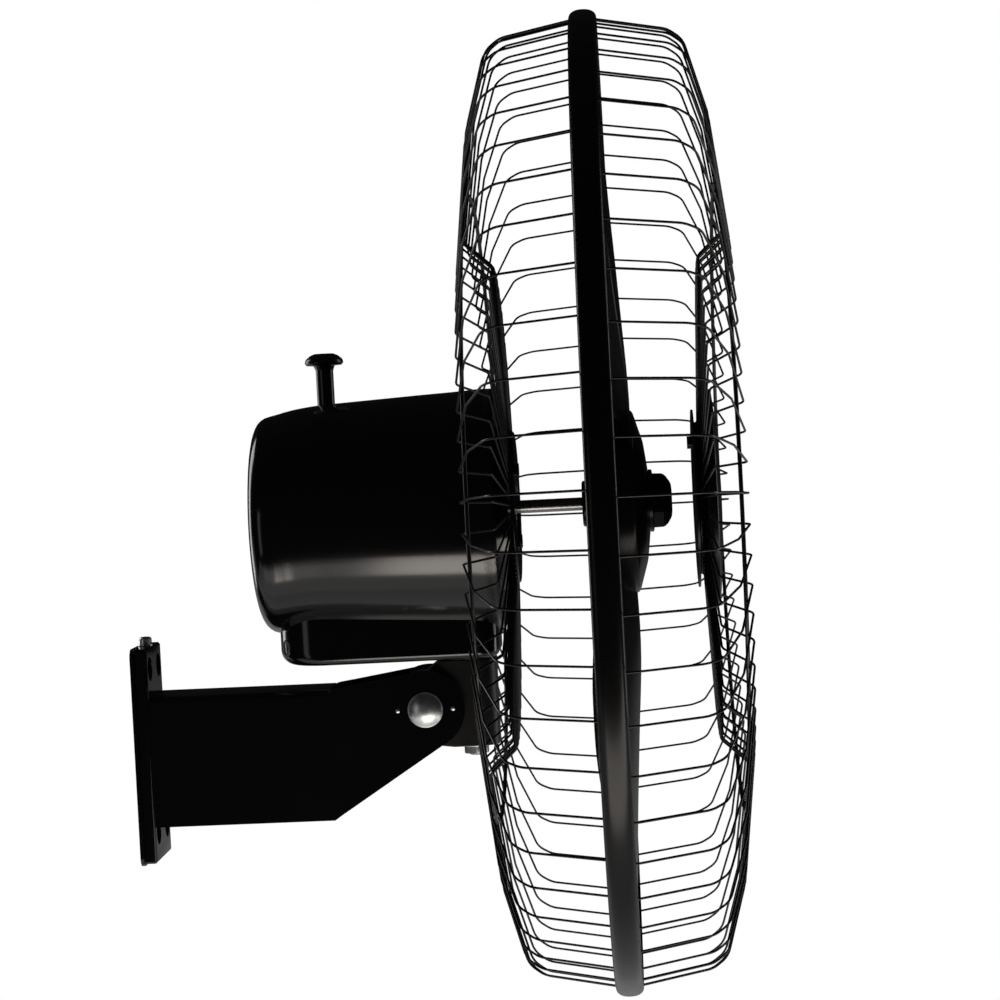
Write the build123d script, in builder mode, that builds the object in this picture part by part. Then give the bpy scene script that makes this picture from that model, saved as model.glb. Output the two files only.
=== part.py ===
from build123d import *
from math import atan2, cos, degrees, hypot, radians, sin, sqrt, tan
import os

# Wall mounted oscillating fan, 60 cm class. Sizes in millimetres.
# +X is the way the air blows, +Z is up, and the origin is on the wall plate's back face, midway
# between the four wall holes.

os.makedirs("parts", exist_ok=True)

# ---------------------------------------------------------------- driving dimensions

# fan head and its place
axis_height = 137.0  # fan axis above the middle of the wall holes
rim_x = 293.0  # middle plane of the guard's rim
rim_radius = 296.5
rim_width = 16.4
rim_wall = 1.2
rim_bevel = 2.6  # along the axis
rim_round = 3.2  # across the axis
rim_ring_size = 3.2
rim_ring_play = 0.4  # between the rim's lips and the wires

# wire guards: a wire runs from the rim along the side, over the face and into a recess
wire_count = 60
wire_size = 1.4
first_wire_angle = 3.3
weld_sink = 0.25  # how deep crossing wires melt into each other
corner_radius_at = 282.0
corner_depth = 57.0
corner_cut = 6.5
corner_lean = 0.6
corner_rise = 1.3
shoulder_radius_at = 236.0
shoulder_depth = 70.0
crest_radius_at = 163.0
crest_depth = 79.5
recess_radius_at = 147.0
recess_depth = 62.0
wire_end_radius = 38.0
wire_end_depth = 57.0
support_ring_radius = 190.0
inner_ring_radius = 45.0
ring_wire_size = 2.4
clamp_thickness = 1.6
clamp_reach = 14.0  # of a clamp plate inside the wires' ends
clamp_gap = 0.8  # between a clamp plate and the ring at the wires' inner ends

# front badge and its fastening
badge_radius = 66.0
badge_thickness = 1.6
badge_dome = 4.0
badge_flat_radius = 37.0
badge_lip = 6.0
badge_clamp_radius = 54.0
badge_clamp_thickness = 1.2
badge_screw_at = 34.0
badge_screw_head_radius = 3.8
badge_screw_head_height = 3.0
badge_screw_radius = 2.0
screw_head_radius = 4.2
screw_head_height = 2.8
guard_screw_head = 1.2
cover_screw_head = 1.0  # flat heads on the housing's rear face

# motor housing
housing_rear_x = 79.0
housing_front_x = 228.0
housing_rear_radius = 66.0
housing_front_radius = 73.0
housing_wall = 2.0
housing_corner = 7.0
rear_dome = 1.6
rear_flat_radius = 44.0
shield_boss_radius = 50.0
shield_wall = 4.0
shield_flange = 63.0
mouth_length = 12.0  # straight mouth of the motor cover
knob_seat_length = 28.0  # straight band of the cover round the knob
cover_post_at = 15.0
cover_post_size = 4.0

# motor
shaft_radius = 4.0
shaft_rear_x = 108.0
stator_radius = 54.0
stator_length = 42.0
stator_front_x = 196.0
rotor_core_radius = 29.0
air_gap = 0.6
slot_count = 16
slot_width = 5.0
winding_length = 11.0
winding_outer_radius = 49.0
rear_shield_depth = 16.0
bearing_radius = 11.0
bearing_length = 9.0
long_bolt_circle_radius = 58.5
long_bolt_radius = 2.0
capacitor_size = (24.0, 18.0, 34.0)
capacitor_y = -42.0
terminal_size = (14.0, 26.0, 12.0)
terminal_y = -28.0
terminal_z = 27.0
running_gap = 0.05

# fan wheel
blade_count = 3
blade_first_angle = 20.0
blade_thickness = 2.4
hub_radius = 56.0
hub_front_radius = 40.0
hub_rear_x = 278.0
hub_skirt_x = 291.0
hub_shoulder_x = 310.0
hub_front_x = 318.5
hub_wall = 3.0
hub_boss_radius = 14.0
hub_rib_count = 6
nose_radius = 18.0
nose_front_x = 332.5
nose_flange = 2.5

# oscillation gear
knob_x = 123.0
worm_radius = 4.0
worm_length = 14.0
worm_wheel_teeth = 36
worm_wheel_module = 0.6
worm_wheel_thickness = 6.0
gear_module = 1.0
pinion_teeth = 10
crank_teeth = 48
gear_thickness = 4.6
tooth_share = 0.36  # tooth thickness as a share of the pitch
spindle_radius = 3.7
knob_rod_radius = 1.6
rod_bore_margin = 20.0  # how far the rod's bore runs on below the gearbox
knob_head_radius = 12.0
knob_head_height = 7.5
knob_stem_radius = 5.4
knob_stem_height = 24.0
knob_bevel = 3.6
gearbox_height = 22.0
gearbox_wall = 2.5
swing_angle = 40.0
anchor_radius_at = 12.0
anchor_radius = 2.5
anchor_gap = 0.7
anchor_depth = 9.0
link_width = 8.0
link_thickness = 2.2
link_eye_play = 2.8  # play of the eye that the opened linkage needs
crank_pin_radius = 2.5
crank_axle_radius = 3.0

# gear case under the motor
case_rear_x = 90.0
case_front_x = 224.0
case_drop = 89.0  # case bottom below the fan axis
case_width = 63.0
case_wall = 2.6
case_floor = 4.0
case_rear_corner = 26.0
case_front_corner = 14.0
case_bottom_bevel = 4.4
case_room_height = 12.0
cord_hole_rise = 11.0
cord_hole_angle = 30.0  # from straight back towards -Y, round the case's rear corner
cord_hole_width = 7.0
cord_hole_spread = 3.4
grommet_wall = 1.5

# pivot block and pin
pivot_x = 206.0
pivot_pin_radius = 5.0
bush_wall = 1.5
bush_length = 12.0
block_drop = 24.0  # block's bottom below the tilt bolt
block_front_x = 221.0
thrust_washer_radius = 9.2
thrust_washer_thickness = 1.4
axial_gap = 0.05
nut_width = 8.4
nut_thickness = 4.4
washer_radius = 9.2
washer_thickness = 1.4

# wall bracket
tilt_x = 177.4
tilt_drop = 119.0  # tilt bolt below the fan axis
tilt_bolt_radius = 5.0
bolt_head_radius = 10.8
bolt_head_height = 5.0
ear_radius = 23.8
friction_plate = 2.0
friction_plate_margin = 6.0  # past the rivets' middles
friction_plate_height = 26.0
side_gap = 0.3
rivet_spacing = 16.8
rivet_radius = 1.7
rivet_head = 0.7
arm_width = 50.0
ear_width = 45.0
arm_wall = 2.5
arm_rise = 18.0  # arm's top above the tilt bolt
arm_height = 79.0
arm_bend_x = 119.5
arm_step = 12.0
arm_fold = 3.0
plate_top_z = 63.0
plate_height = 132.5
plate_width = 56.0
plate_thickness = 2.2
plate_corner = 6.0
tray_depth = 7.8
tray_height = 131.0
tray_width = 52.0
tray_wall = 1.5
tray_bevel = 1.2
wall_hole_radius = 4.25
wall_hole_spacing_y = 30.0
wall_hole_spacing_z = 100.0
access_hole_radius = 7.5
lock_screw_x = 5.25
lock_screw_radius = 2.0
lock_screw_length = 10.0
lock_head_radius = 4.4
lock_head_height = 5.4
lip_width = 24.0

# ---------------------------------------------------------------- shared values

# heights that follow the fan axis
case_bottom_z = axis_height - case_drop
case_room_z = case_bottom_z + case_floor
case_roof_z = case_room_z + case_room_height
cord_hole_z = case_bottom_z + cord_hole_rise
tilt_z = axis_height - tilt_drop
block_bottom_z = tilt_z - block_drop
arm_top_z = tilt_z + arm_rise
arm_bottom_z = arm_top_z - arm_height

# section plane: local x runs along the fan axis, local y is the radius
head_section = Plane(origin=(0, 0, axis_height), x_dir=(1, 0, 0), z_dir=(0, -1, 0))
# face plane: local x is row +Y, local z runs along the fan axis
head_face = Plane(origin=(0, 0, axis_height), x_dir=(0, 1, 0), z_dir=(1, 0, 0))
fan_axis = Axis((0, 0, axis_height), (1, 0, 0))
side_plane = Plane.XZ  # local x is row X, local y is row Z, it faces -Y

wire_radius = wire_size / 2
outer_ring_at = rim_radius - rim_wall - rim_ring_size / 2
wire_start_radius = outer_ring_at - rim_ring_size / 2 - wire_radius + weld_sink

worm_wheel_radius = worm_wheel_module * worm_wheel_teeth / 2
spindle_y = worm_wheel_radius + worm_radius + worm_wheel_module
gear_distance = gear_module * (pinion_teeth + crank_teeth) / 2
crank_x = knob_x + sqrt(gear_distance**2 - spindle_y**2)
mesh_angle = degrees(atan2(-spindle_y, crank_x - knob_x))
crank_arm = anchor_radius_at * sin(radians(swing_angle))
link_bottom_z = case_room_z + 0.8
gear_bottom_z = link_bottom_z + link_thickness + 0.8

stator_rear_x = stator_front_x - stator_length
mouth_x = housing_front_x - mouth_length
long_bolt_end_x = mouth_x + 2
rear_shield_x = stator_rear_x - rear_shield_depth
gearbox_rear_x = shaft_rear_x - gearbox_wall - 2
gearbox_top_z = axis_height + gearbox_height / 2
spindle_top_z = gearbox_top_z + 8
pin_bore = pivot_pin_radius + bush_wall
slot_half = anchor_radius + anchor_gap
block_width = ear_width - 2 * (arm_wall + friction_plate + side_gap)
block_top_z = case_bottom_z - thrust_washer_thickness
tray_front_x = plate_thickness + tray_depth
tray_middle_z = plate_top_z - tray_height / 2


def save(builder, name):
    """Label a finished piece and write its file."""
    builder.part.label = name
    export_step(builder.part, f"parts/{name}.step")


def turned(points):
    """Solid turned about the fan axis from (place along the axis, radius) corner points."""
    with BuildPart() as piece:
        with BuildSketch(head_section):
            with BuildLine():
                Polyline(*points, close=True)
            make_face()
        revolve(axis=fan_axis)
    return piece


def round_bar(x, y, low_z, high_z, radius, bore=0.0):
    """Upright round bar or tube between two heights."""
    with BuildPart() as piece:
        with BuildSketch(Plane(origin=(x, y, low_z))):
            Circle(radius)
            if bore:
                Circle(bore, mode=Mode.SUBTRACT)
        extrude(amount=high_z - low_z)
    return piece


def taper(x):
    """Radius of the even taper between the motor housing's rear and its mouth."""
    share = (x - housing_rear_x) / (mouth_x - housing_rear_x)
    return housing_rear_radius + share * (housing_front_radius - housing_rear_radius)


# the taper pauses in a straight band where the knob passes, and ends in a straight mouth
seat_low_x = knob_x - knob_seat_length / 2
seat_high_x = knob_x + knob_seat_length / 2
seat_radius = taper(knob_x)


def housing_radius(x):
    """Outer radius of the motor housing at a place along the axis."""
    if seat_low_x <= x <= seat_high_x:
        return seat_radius
    return min(taper(x), housing_front_radius)


def housing_side(low_x, inset):
    """Corner points of the housing's long side from a place near its rear to its mouth."""
    return [
        (low_x, taper(low_x) - inset),
        (seat_low_x, seat_radius - inset),
        (seat_high_x, seat_radius - inset),
        (mouth_x, housing_front_radius - inset),
        (housing_front_x, housing_front_radius - inset),
    ]


def gear_outline(teeth, module, phase):
    """Corner points of a gear with straight-flanked teeth; one tooth points along phase."""
    pitch = 360 / teeth
    root = module * (teeth / 2 - 1.15)
    tip = module * (teeth / 2 + 0.8)
    half_root = 0.72 * tooth_share * pitch
    half_tip = 0.28 * tooth_share * pitch
    points = []
    for index in range(teeth):
        for radius, turn in ((root, -half_root), (tip, -half_tip), (tip, half_tip), (root, half_root)):
            angle = radians(phase + index * pitch + turn)
            points.append((radius * cos(angle), radius * sin(angle)))
    return points


# ---------------------------------------------------------------- wall plate and arm tray

with BuildPart() as wall_plate:
    with BuildSketch(Plane.YZ):
        with Locations((0, plate_top_z - plate_height / 2)):
            RectangleRounded(plate_width, plate_height, plate_corner)
        with GridLocations(wall_hole_spacing_y, wall_hole_spacing_z, 2, 2):
            Circle(wall_hole_radius, mode=Mode.SUBTRACT)
    extrude(amount=plate_thickness)
    # a lip under the tray's top takes the lock screw
    with BuildSketch(Plane(origin=(lock_screw_x, 0, plate_top_z - tray_wall))):
        Rectangle(2 * (lock_screw_x - plate_thickness), lip_width)
        Circle(lock_screw_radius, mode=Mode.SUBTRACT)
    extrude(amount=-plate_thickness)
save(wall_plate, "wall_plate")

with BuildPart() as arm_tray:
    with BuildSketch(Plane.YZ.offset(plate_thickness)):
        with Locations((0, tray_middle_z)):
            Rectangle(tray_width, tray_height)
    extrude(amount=tray_depth)
    chamfer(arm_tray.edges().filter_by(Axis.X), tray_bevel)
    chamfer(arm_tray.faces().sort_by(Axis.X)[-1].edges(), tray_bevel)
    with BuildSketch(Plane.YZ.offset(plate_thickness)):
        with Locations((0, tray_middle_z)):
            Rectangle(tray_width - 2 * tray_wall, tray_height - 2 * tray_wall)
    extrude(amount=tray_depth - tray_wall, mode=Mode.SUBTRACT)
    with BuildSketch(Plane.YZ.offset(tray_front_x)):
        with GridLocations(wall_hole_spacing_y, wall_hole_spacing_z, 2, 2):
            Circle(access_hole_radius)
    extrude(amount=-tray_wall, mode=Mode.SUBTRACT)
    with BuildSketch(Plane(origin=(lock_screw_x, 0, plate_top_z))):
        Circle(lock_screw_radius)
    extrude(amount=-tray_wall, mode=Mode.SUBTRACT)
save(arm_tray, "arm_tray")

with BuildPart() as lock_screw:
    with BuildSketch(Plane(origin=(lock_screw_x, 0, plate_top_z))):
        Circle(lock_head_radius)
    extrude(amount=lock_head_height)
    chamfer(lock_screw.faces().sort_by(Axis.Z)[-1].edges(), 0.7)
    with BuildSketch(Plane(origin=(lock_screw_x, 0, plate_top_z))):
        Circle(lock_screw_radius)
    extrude(amount=-lock_screw_length)
save(lock_screw, "lock_screw")

# ---------------------------------------------------------------- support arm with its ears


def arm_plan(inset):
    """Plan outline of the arm between its cheeks' outer faces, less an inset for the sheet."""
    ear_end_x = tilt_x + 2 * ear_radius
    half_arm = arm_width / 2 - inset
    half_ear = ear_width / 2 - inset
    near = [
        (tray_front_x, half_arm),
        (arm_bend_x, half_arm),
        (arm_bend_x + arm_step, half_ear),
        (ear_end_x, half_ear),
    ]
    return near + [(x, -y) for x, y in reversed(near)]


# folded from one sheet: a top, and two cheeks that step inwards to the ears
arm_low = arm_bottom_z - 5
arm_reach = arm_top_z - arm_bottom_z + 2 * ear_radius
with BuildPart() as support_arm:
    with BuildSketch(side_plane):
        with BuildLine():
            ear = CenterArc((tilt_x, tilt_z), ear_radius, -62, 174)
            Polyline((tray_front_x, arm_top_z), (arm_bend_x, arm_top_z), ear @ 1)
            Polyline(ear @ 0, (arm_bend_x, arm_bottom_z), (tray_front_x, arm_bottom_z))
            Line((tray_front_x, arm_bottom_z), (tray_front_x, arm_top_z))
        make_face()
    extrude(amount=arm_width / 2, both=True)
    with BuildSketch(Plane.XY.offset(arm_low)):
        with BuildLine():
            Polyline(*arm_plan(0), close=True)
        make_face()
    extrude(amount=arm_reach, mode=Mode.INTERSECT)
    chamfer(support_arm.edges().filter_by(Axis.X).group_by(Axis.Z)[-1], arm_fold)
    # the space between the cheeks is open below and in front
    with BuildSketch(Plane.XY.offset(arm_low)):
        with BuildLine():
            Polyline(*arm_plan(arm_wall), close=True)
        make_face()
    extrude(amount=arm_top_z - arm_wall - arm_low, mode=Mode.SUBTRACT)
    with BuildSketch(Plane.XY.offset(arm_top_z - arm_wall)):
        with BuildLine():
            Polyline(*arm_plan(arm_wall)[1:-1], close=True)
        make_face()
    extrude(amount=2 * ear_radius, mode=Mode.SUBTRACT)
    with BuildSketch(side_plane):
        with Locations((tilt_x, tilt_z)):
            Circle(tilt_bolt_radius)
        with Locations((tilt_x - rivet_spacing, tilt_z), (tilt_x + rivet_spacing, tilt_z)):
            Circle(rivet_radius)
    extrude(amount=arm_width, both=True, mode=Mode.SUBTRACT)
save(support_arm, "support_arm")

plate_y = ear_width / 2 - arm_wall
with BuildPart() as friction_plates:
    for side in (-1, 1):
        with BuildSketch(side_plane.offset(side * plate_y)):
            with Locations((tilt_x, tilt_z)):
                SlotOverall(2 * (rivet_spacing + friction_plate_margin), friction_plate_height)
                Circle(tilt_bolt_radius, mode=Mode.SUBTRACT)
            with Locations((tilt_x - rivet_spacing, tilt_z), (tilt_x + rivet_spacing, tilt_z)):
                Circle(rivet_radius, mode=Mode.SUBTRACT)
        extrude(amount=-side * friction_plate)
save(friction_plates, "friction_plates")

with BuildPart() as ear_rivets:
    for side in (-1, 1):
        with BuildSketch(side_plane.offset(side * (plate_y - friction_plate))):
            with Locations((tilt_x - rivet_spacing, tilt_z), (tilt_x + rivet_spacing, tilt_z)):
                Circle(rivet_radius)
        extrude(amount=side * (arm_wall + friction_plate))
        with BuildSketch(side_plane.offset(side * ear_width / 2)):
            with Locations((tilt_x - rivet_spacing, tilt_z), (tilt_x + rivet_spacing, tilt_z)):
                Circle(rivet_radius + rivet_head)
        extrude(amount=side * rivet_head)
save(ear_rivets, "ear_rivets")

# ---------------------------------------------------------------- tilt bolt

bolt_head_y = -ear_width / 2
nut_seat_y = ear_width / 2 + washer_thickness
bolt_end_y = nut_seat_y + 11
with BuildPart() as tilt_bolt:
    with BuildSketch(Plane(origin=(tilt_x, 0, tilt_z))):
        with BuildLine():
            Polyline(
                (0, bolt_head_y - bolt_head_height),
                (0.45 * bolt_head_radius, bolt_head_y - 0.88 * bolt_head_height),
                (0.82 * bolt_head_radius, bolt_head_y - 0.5 * bolt_head_height),
                (bolt_head_radius, bolt_head_y - 1),
                (bolt_head_radius, bolt_head_y),
                (tilt_bolt_radius, bolt_head_y),
                (tilt_bolt_radius, bolt_end_y),
                (0, bolt_end_y),
                close=True,
            )
        make_face()
    revolve(axis=Axis((tilt_x, 0, tilt_z), (0, 1, 0)))
save(tilt_bolt, "tilt_bolt")

with BuildPart() as tilt_washer:
    with BuildSketch(side_plane.offset(-ear_width / 2)):
        with Locations((tilt_x, tilt_z)):
            Circle(bolt_head_radius)
            Circle(tilt_bolt_radius, mode=Mode.SUBTRACT)
    extrude(amount=-washer_thickness)
save(tilt_washer, "tilt_washer")

with BuildPart() as tilt_nut:
    with BuildSketch(side_plane.offset(-nut_seat_y)):
        with Locations((tilt_x, tilt_z)):
            RegularPolygon(nut_width + 1.4, 6)
            Circle(tilt_bolt_radius, mode=Mode.SUBTRACT)
    extrude(amount=-8)
save(tilt_nut, "tilt_nut")

# ---------------------------------------------------------------- pivot block

with BuildPart() as pivot_block:
    with BuildSketch(side_plane):
        with BuildLine():
            back = CenterArc((tilt_x, tilt_z), ear_radius - 2, 90, 180)
            Polyline(
                back @ 1,
                (pivot_x - pin_bore - 6, block_bottom_z),
                (block_front_x, block_bottom_z),
                (block_front_x, block_top_z),
                (tilt_x + 9, block_top_z),
                back @ 0,
            )
        make_face()
    extrude(amount=block_width / 2, both=True)
    fillet(pivot_block.edges().filter_by(Axis.Z).group_by(Axis.X)[-1], block_width / 3)
    with BuildSketch(Plane.XY.offset(block_bottom_z)):
        with Locations((pivot_x, 0)):
            Circle(pin_bore)
    extrude(amount=block_top_z - block_bottom_z, mode=Mode.SUBTRACT)
    with BuildSketch(side_plane):
        with Locations((tilt_x, tilt_z)):
            Circle(tilt_bolt_radius + running_gap)
    extrude(amount=block_width, both=True, mode=Mode.SUBTRACT)
    with BuildSketch(Plane.XY.offset(block_top_z)):
        with Locations((pivot_x, -anchor_radius_at)):
            Circle(anchor_radius)
    extrude(amount=-anchor_depth, mode=Mode.SUBTRACT)
save(pivot_block, "pivot_block")

with BuildPart() as pivot_bushes:
    for low_z in (block_bottom_z, block_top_z - bush_length):
        with BuildSketch(Plane(origin=(pivot_x, 0, low_z))):
            Circle(pin_bore)
            Circle(pivot_pin_radius + running_gap, mode=Mode.SUBTRACT)
        extrude(amount=bush_length)
save(pivot_bushes, "pivot_bushes")

washer_bore = pivot_pin_radius + running_gap
washer_top_z = case_bottom_z - axial_gap
save(
    round_bar(pivot_x, 0, block_top_z, washer_top_z, thrust_washer_radius, washer_bore),
    "thrust_washer",
)
anchor_top_z = link_bottom_z + link_thickness + 0.6
save(
    round_bar(pivot_x, -anchor_radius_at, block_top_z - anchor_depth, anchor_top_z, anchor_radius),
    "link_anchor",
)

# ---------------------------------------------------------------- gear case under the motor


def case_plan(low_z, inset):
    """Plan of the gear case, rounder at its rear end, less an inset."""
    length = case_front_x - case_rear_x - 2 * inset
    with BuildSketch(Plane(origin=((case_front_x + case_rear_x) / 2, 0, low_z))) as plan:
        Rectangle(length, case_width - 2 * inset)
        fillet(plan.vertices().group_by(Axis.X)[-1], case_front_corner - inset)
        fillet(plan.vertices().group_by(Axis.X)[0], case_rear_corner - inset)
    return plan.sketch


# the cord's oval hole and its grommet share this plane in the middle of the case's rear corner
inlet_angle = radians(180 + cord_hole_angle)
inlet_plane = Plane(
    origin=(case_rear_x + case_rear_corner, case_rear_corner - case_width / 2, cord_hole_z),
    x_dir=(-sin(inlet_angle), cos(inlet_angle), 0),
    z_dir=(cos(inlet_angle), sin(inlet_angle), 0),
)

with BuildPart() as gear_case:
    add(case_plan(case_bottom_z, 0))
    extrude(amount=axis_height - case_bottom_z - housing_front_radius / 2)
    chamfer(gear_case.faces().sort_by(Axis.Z)[0].edges(), case_bottom_bevel)
    # the motor housing sits in a saddle
    with BuildSketch(head_section):
        with BuildLine():
            Polyline(
                (housing_rear_x, 0),
                *housing_side(housing_rear_x, 0),
                (housing_front_x, 0),
                close=True,
            )
        make_face()
    revolve(axis=fan_axis, mode=Mode.SUBTRACT)
    add(case_plan(case_room_z, case_wall))
    extrude(amount=case_room_height, mode=Mode.SUBTRACT)
    # curved slot for the link anchor, as long as the swing
    slot_reach = 2 * anchor_radius_at
    slot_spread = slot_reach * tan(radians(swing_angle))
    with BuildSketch(Plane(origin=(pivot_x, 0, case_bottom_z))):
        Circle(anchor_radius_at + slot_half)
        Circle(anchor_radius_at - slot_half, mode=Mode.SUBTRACT)
        with BuildLine():
            Polyline((0, 0), (-slot_spread, -slot_reach), (slot_spread, -slot_reach), close=True)
        make_face(mode=Mode.INTERSECT)
        for turn in (-swing_angle, swing_angle):
            angle = radians(turn - 90)
            with Locations((anchor_radius_at * cos(angle), anchor_radius_at * sin(angle))):
                Circle(slot_half)
        Circle(pivot_pin_radius)
    extrude(amount=case_floor, mode=Mode.SUBTRACT)
    with BuildSketch(Plane.XY.offset(case_roof_z)):
        with Locations((knob_x, spindle_y)):
            Circle(spindle_radius + running_gap)
        with Locations((crank_x, 0)):
            Circle(crank_axle_radius)
    extrude(amount=axis_height - case_roof_z, mode=Mode.SUBTRACT)
    with BuildSketch(inlet_plane):
        SlotCenterToCenter(cord_hole_spread, cord_hole_width, rotation=90)
    extrude(amount=case_rear_corner, mode=Mode.SUBTRACT)
save(gear_case, "gear_case")

with BuildPart() as cord_grommet:
    with BuildSketch(inlet_plane):
        SlotCenterToCenter(cord_hole_spread, cord_hole_width, rotation=90)
        SlotCenterToCenter(
            cord_hole_spread, cord_hole_width - 2 * grommet_wall, rotation=90, mode=Mode.SUBTRACT
        )
    extrude(amount=case_rear_corner)
    with BuildSketch(Plane(origin=(inlet_plane.origin.X, inlet_plane.origin.Y, case_bottom_z))):
        Circle(case_rear_corner)
        Circle(case_rear_corner - case_wall, mode=Mode.SUBTRACT)
    extrude(amount=2 * cord_hole_rise, mode=Mode.INTERSECT)
save(cord_grommet, "cord_grommet")

washer_low_z = block_bottom_z - axial_gap - washer_thickness
nut_low_z = washer_low_z - nut_thickness
pin_low_z = nut_low_z - 1.2
save(
    round_bar(pivot_x, 0, pin_low_z, case_room_z, pivot_pin_radius),
    "pivot_pin",
)
save(
    round_bar(pivot_x, 0, washer_low_z, block_bottom_z - axial_gap, washer_radius, pivot_pin_radius),
    "pivot_washer",
)
with BuildPart() as pivot_nut:
    with BuildSketch(Plane(origin=(pivot_x, 0, nut_low_z))):
        RegularPolygon(nut_width, 6)
        Circle(pivot_pin_radius, mode=Mode.SUBTRACT)
    extrude(amount=nut_thickness)
save(pivot_nut, "pivot_nut")

# ---------------------------------------------------------------- motor cover


def cover_outline(inset):
    """Cover's profile from the middle of its rear face to its front rim, less an inset."""
    rear = housing_rear_x + inset
    corner_x = housing_rear_x + rear_dome
    return [
        (rear, 0),
        (rear, rear_flat_radius),
        (corner_x + inset, housing_rear_radius - housing_corner),
        (corner_x + 0.3 * housing_corner + inset, housing_rear_radius - 0.3 * housing_corner - inset / 2),
        *housing_side(corner_x + housing_corner, inset),
    ]


gearbox_low_y = -worm_radius - 5 - gearbox_wall
gearbox_high_y = spindle_y + worm_wheel_radius + worm_wheel_module + 1 + gearbox_wall
gearbox_middle_y = (gearbox_low_y + gearbox_high_y) / 2
gearbox_width = gearbox_high_y - gearbox_low_y
gearbox_length = rear_shield_x - gearbox_rear_x
gearbox_middle_x = (rear_shield_x + gearbox_rear_x) / 2
post_plane = Plane(origin=(0, gearbox_middle_y, axis_height), x_dir=(0, 1, 0), z_dir=(1, 0, 0))

with BuildPart() as motor_cover:
    add(turned(cover_outline(0) + cover_outline(housing_wall)[::-1]).part)
    with BuildSketch(Plane.XY.offset(axis_height)):
        with Locations((knob_x, spindle_y)):
            Circle(knob_stem_radius + 1.2)
    extrude(amount=2 * housing_front_radius, mode=Mode.SUBTRACT)
    with BuildSketch(Plane.XY.offset(axis_height)):
        with Locations((knob_x, spindle_y)):
            Circle(spindle_radius + 1)
    extrude(amount=-2 * housing_front_radius, mode=Mode.SUBTRACT)
    with BuildSketch(post_plane.offset(housing_rear_x)):
        with Locations((-cover_post_at, 0), (cover_post_at, 0)):
            Circle(badge_screw_radius)
    extrude(amount=housing_wall, mode=Mode.SUBTRACT)
save(motor_cover, "motor_cover")

with BuildPart() as cover_posts:
    with BuildSketch(post_plane.offset(housing_rear_x + housing_wall)):
        with Locations((-cover_post_at, 0), (cover_post_at, 0)):
            RegularPolygon(cover_post_size, 6)
            Circle(badge_screw_radius, mode=Mode.SUBTRACT)
    extrude(amount=gearbox_rear_x - housing_rear_x - housing_wall)
save(cover_posts, "cover_posts")

with BuildPart() as cover_screws:
    with BuildSketch(post_plane.offset(housing_rear_x)):
        with Locations((-cover_post_at, 0), (cover_post_at, 0)):
            Circle(screw_head_radius)
    extrude(amount=-cover_screw_head)
    with BuildSketch(post_plane.offset(housing_rear_x)):
        with Locations((-cover_post_at, 0), (cover_post_at, 0)):
            Circle(badge_screw_radius)
    extrude(amount=housing_wall + 10)
save(cover_screws, "cover_screws")

# ---------------------------------------------------------------- motor


def guard_profile(start):
    """Corner points (radius, depth) of a guard wire's middle line, from the rim inwards."""
    return (
        (start, 1.0),
        (corner_radius_at + corner_lean, corner_depth - corner_cut),
        (corner_radius_at - corner_cut, corner_depth + corner_rise),
        (shoulder_radius_at, shoulder_depth),
        (crest_radius_at, crest_depth),
        (recess_radius_at, recess_depth),
        (wire_end_radius, wire_end_depth),
    )


wire_line = guard_profile(wire_start_radius)


def guard_depth(radius):
    """Depth of a wire's middle line at a radius on the guard's face."""
    for (outer, outer_depth), (inner, inner_depth) in zip(wire_line[2:], wire_line[3:]):
        if inner <= radius <= outer:
            return outer_depth + (inner_depth - outer_depth) * (outer - radius) / (outer - inner)
    return wire_end_depth


shield_x = stator_front_x  # the shield's skirt seats on the stator
boss_x = rim_x - guard_depth(shield_boss_radius) - wire_radius
bearing_front_x = boss_x - 1
bearing_rear_x = bearing_front_x - bearing_length
with BuildPart() as front_shield:
    add(
        turned(
            [
                (shield_x, stator_radius - shield_wall),
                (shield_x, shield_flange),
                (mouth_x, shield_flange),
                (mouth_x, housing_front_radius - housing_wall),
                (housing_front_x, housing_front_radius - housing_wall),
                (housing_front_x, shield_boss_radius),
                (boss_x, shield_boss_radius),
                (boss_x, bearing_radius),
                (bearing_rear_x, bearing_radius),
                (bearing_rear_x, bearing_radius + shield_wall),
                (boss_x - shield_wall, bearing_radius + shield_wall),
                (boss_x - shield_wall, shield_boss_radius - shield_wall),
                (housing_front_x - shield_wall, shield_boss_radius - shield_wall),
                (housing_front_x - shield_wall, stator_radius - shield_wall),
            ]
        ).part
    )
    with BuildSketch(head_face.offset(shield_x)):
        with PolarLocations(long_bolt_circle_radius, 4, start_angle=45):
            Circle(long_bolt_radius)
    extrude(amount=long_bolt_end_x - shield_x, mode=Mode.SUBTRACT)
save(front_shield, "front_shield")

with BuildPart() as rear_shield:
    add(
        turned(
            [
                (stator_rear_x, stator_radius - shield_wall),
                (stator_rear_x, shield_flange),
                (rear_shield_x, shield_flange),
                (rear_shield_x, bearing_radius),
                (rear_shield_x + bearing_length, bearing_radius),
                (rear_shield_x + bearing_length, bearing_radius + shield_wall),
                (rear_shield_x + shield_wall, bearing_radius + shield_wall),
                (rear_shield_x + shield_wall, stator_radius - shield_wall),
            ]
        ).part
    )
    with BuildSketch(head_face.offset(rear_shield_x)):
        with PolarLocations(long_bolt_circle_radius, 4, start_angle=45):
            Circle(long_bolt_radius)
    extrude(amount=rear_shield_depth, mode=Mode.SUBTRACT)
save(rear_shield, "rear_shield")

with BuildPart() as shaft_bearings:
    for low_x in (rear_shield_x, bearing_rear_x):
        with BuildSketch(head_face.offset(low_x)):
            Circle(bearing_radius)
            Circle(shaft_radius + running_gap, mode=Mode.SUBTRACT)
        extrude(amount=bearing_length)
save(shaft_bearings, "shaft_bearings")

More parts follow.
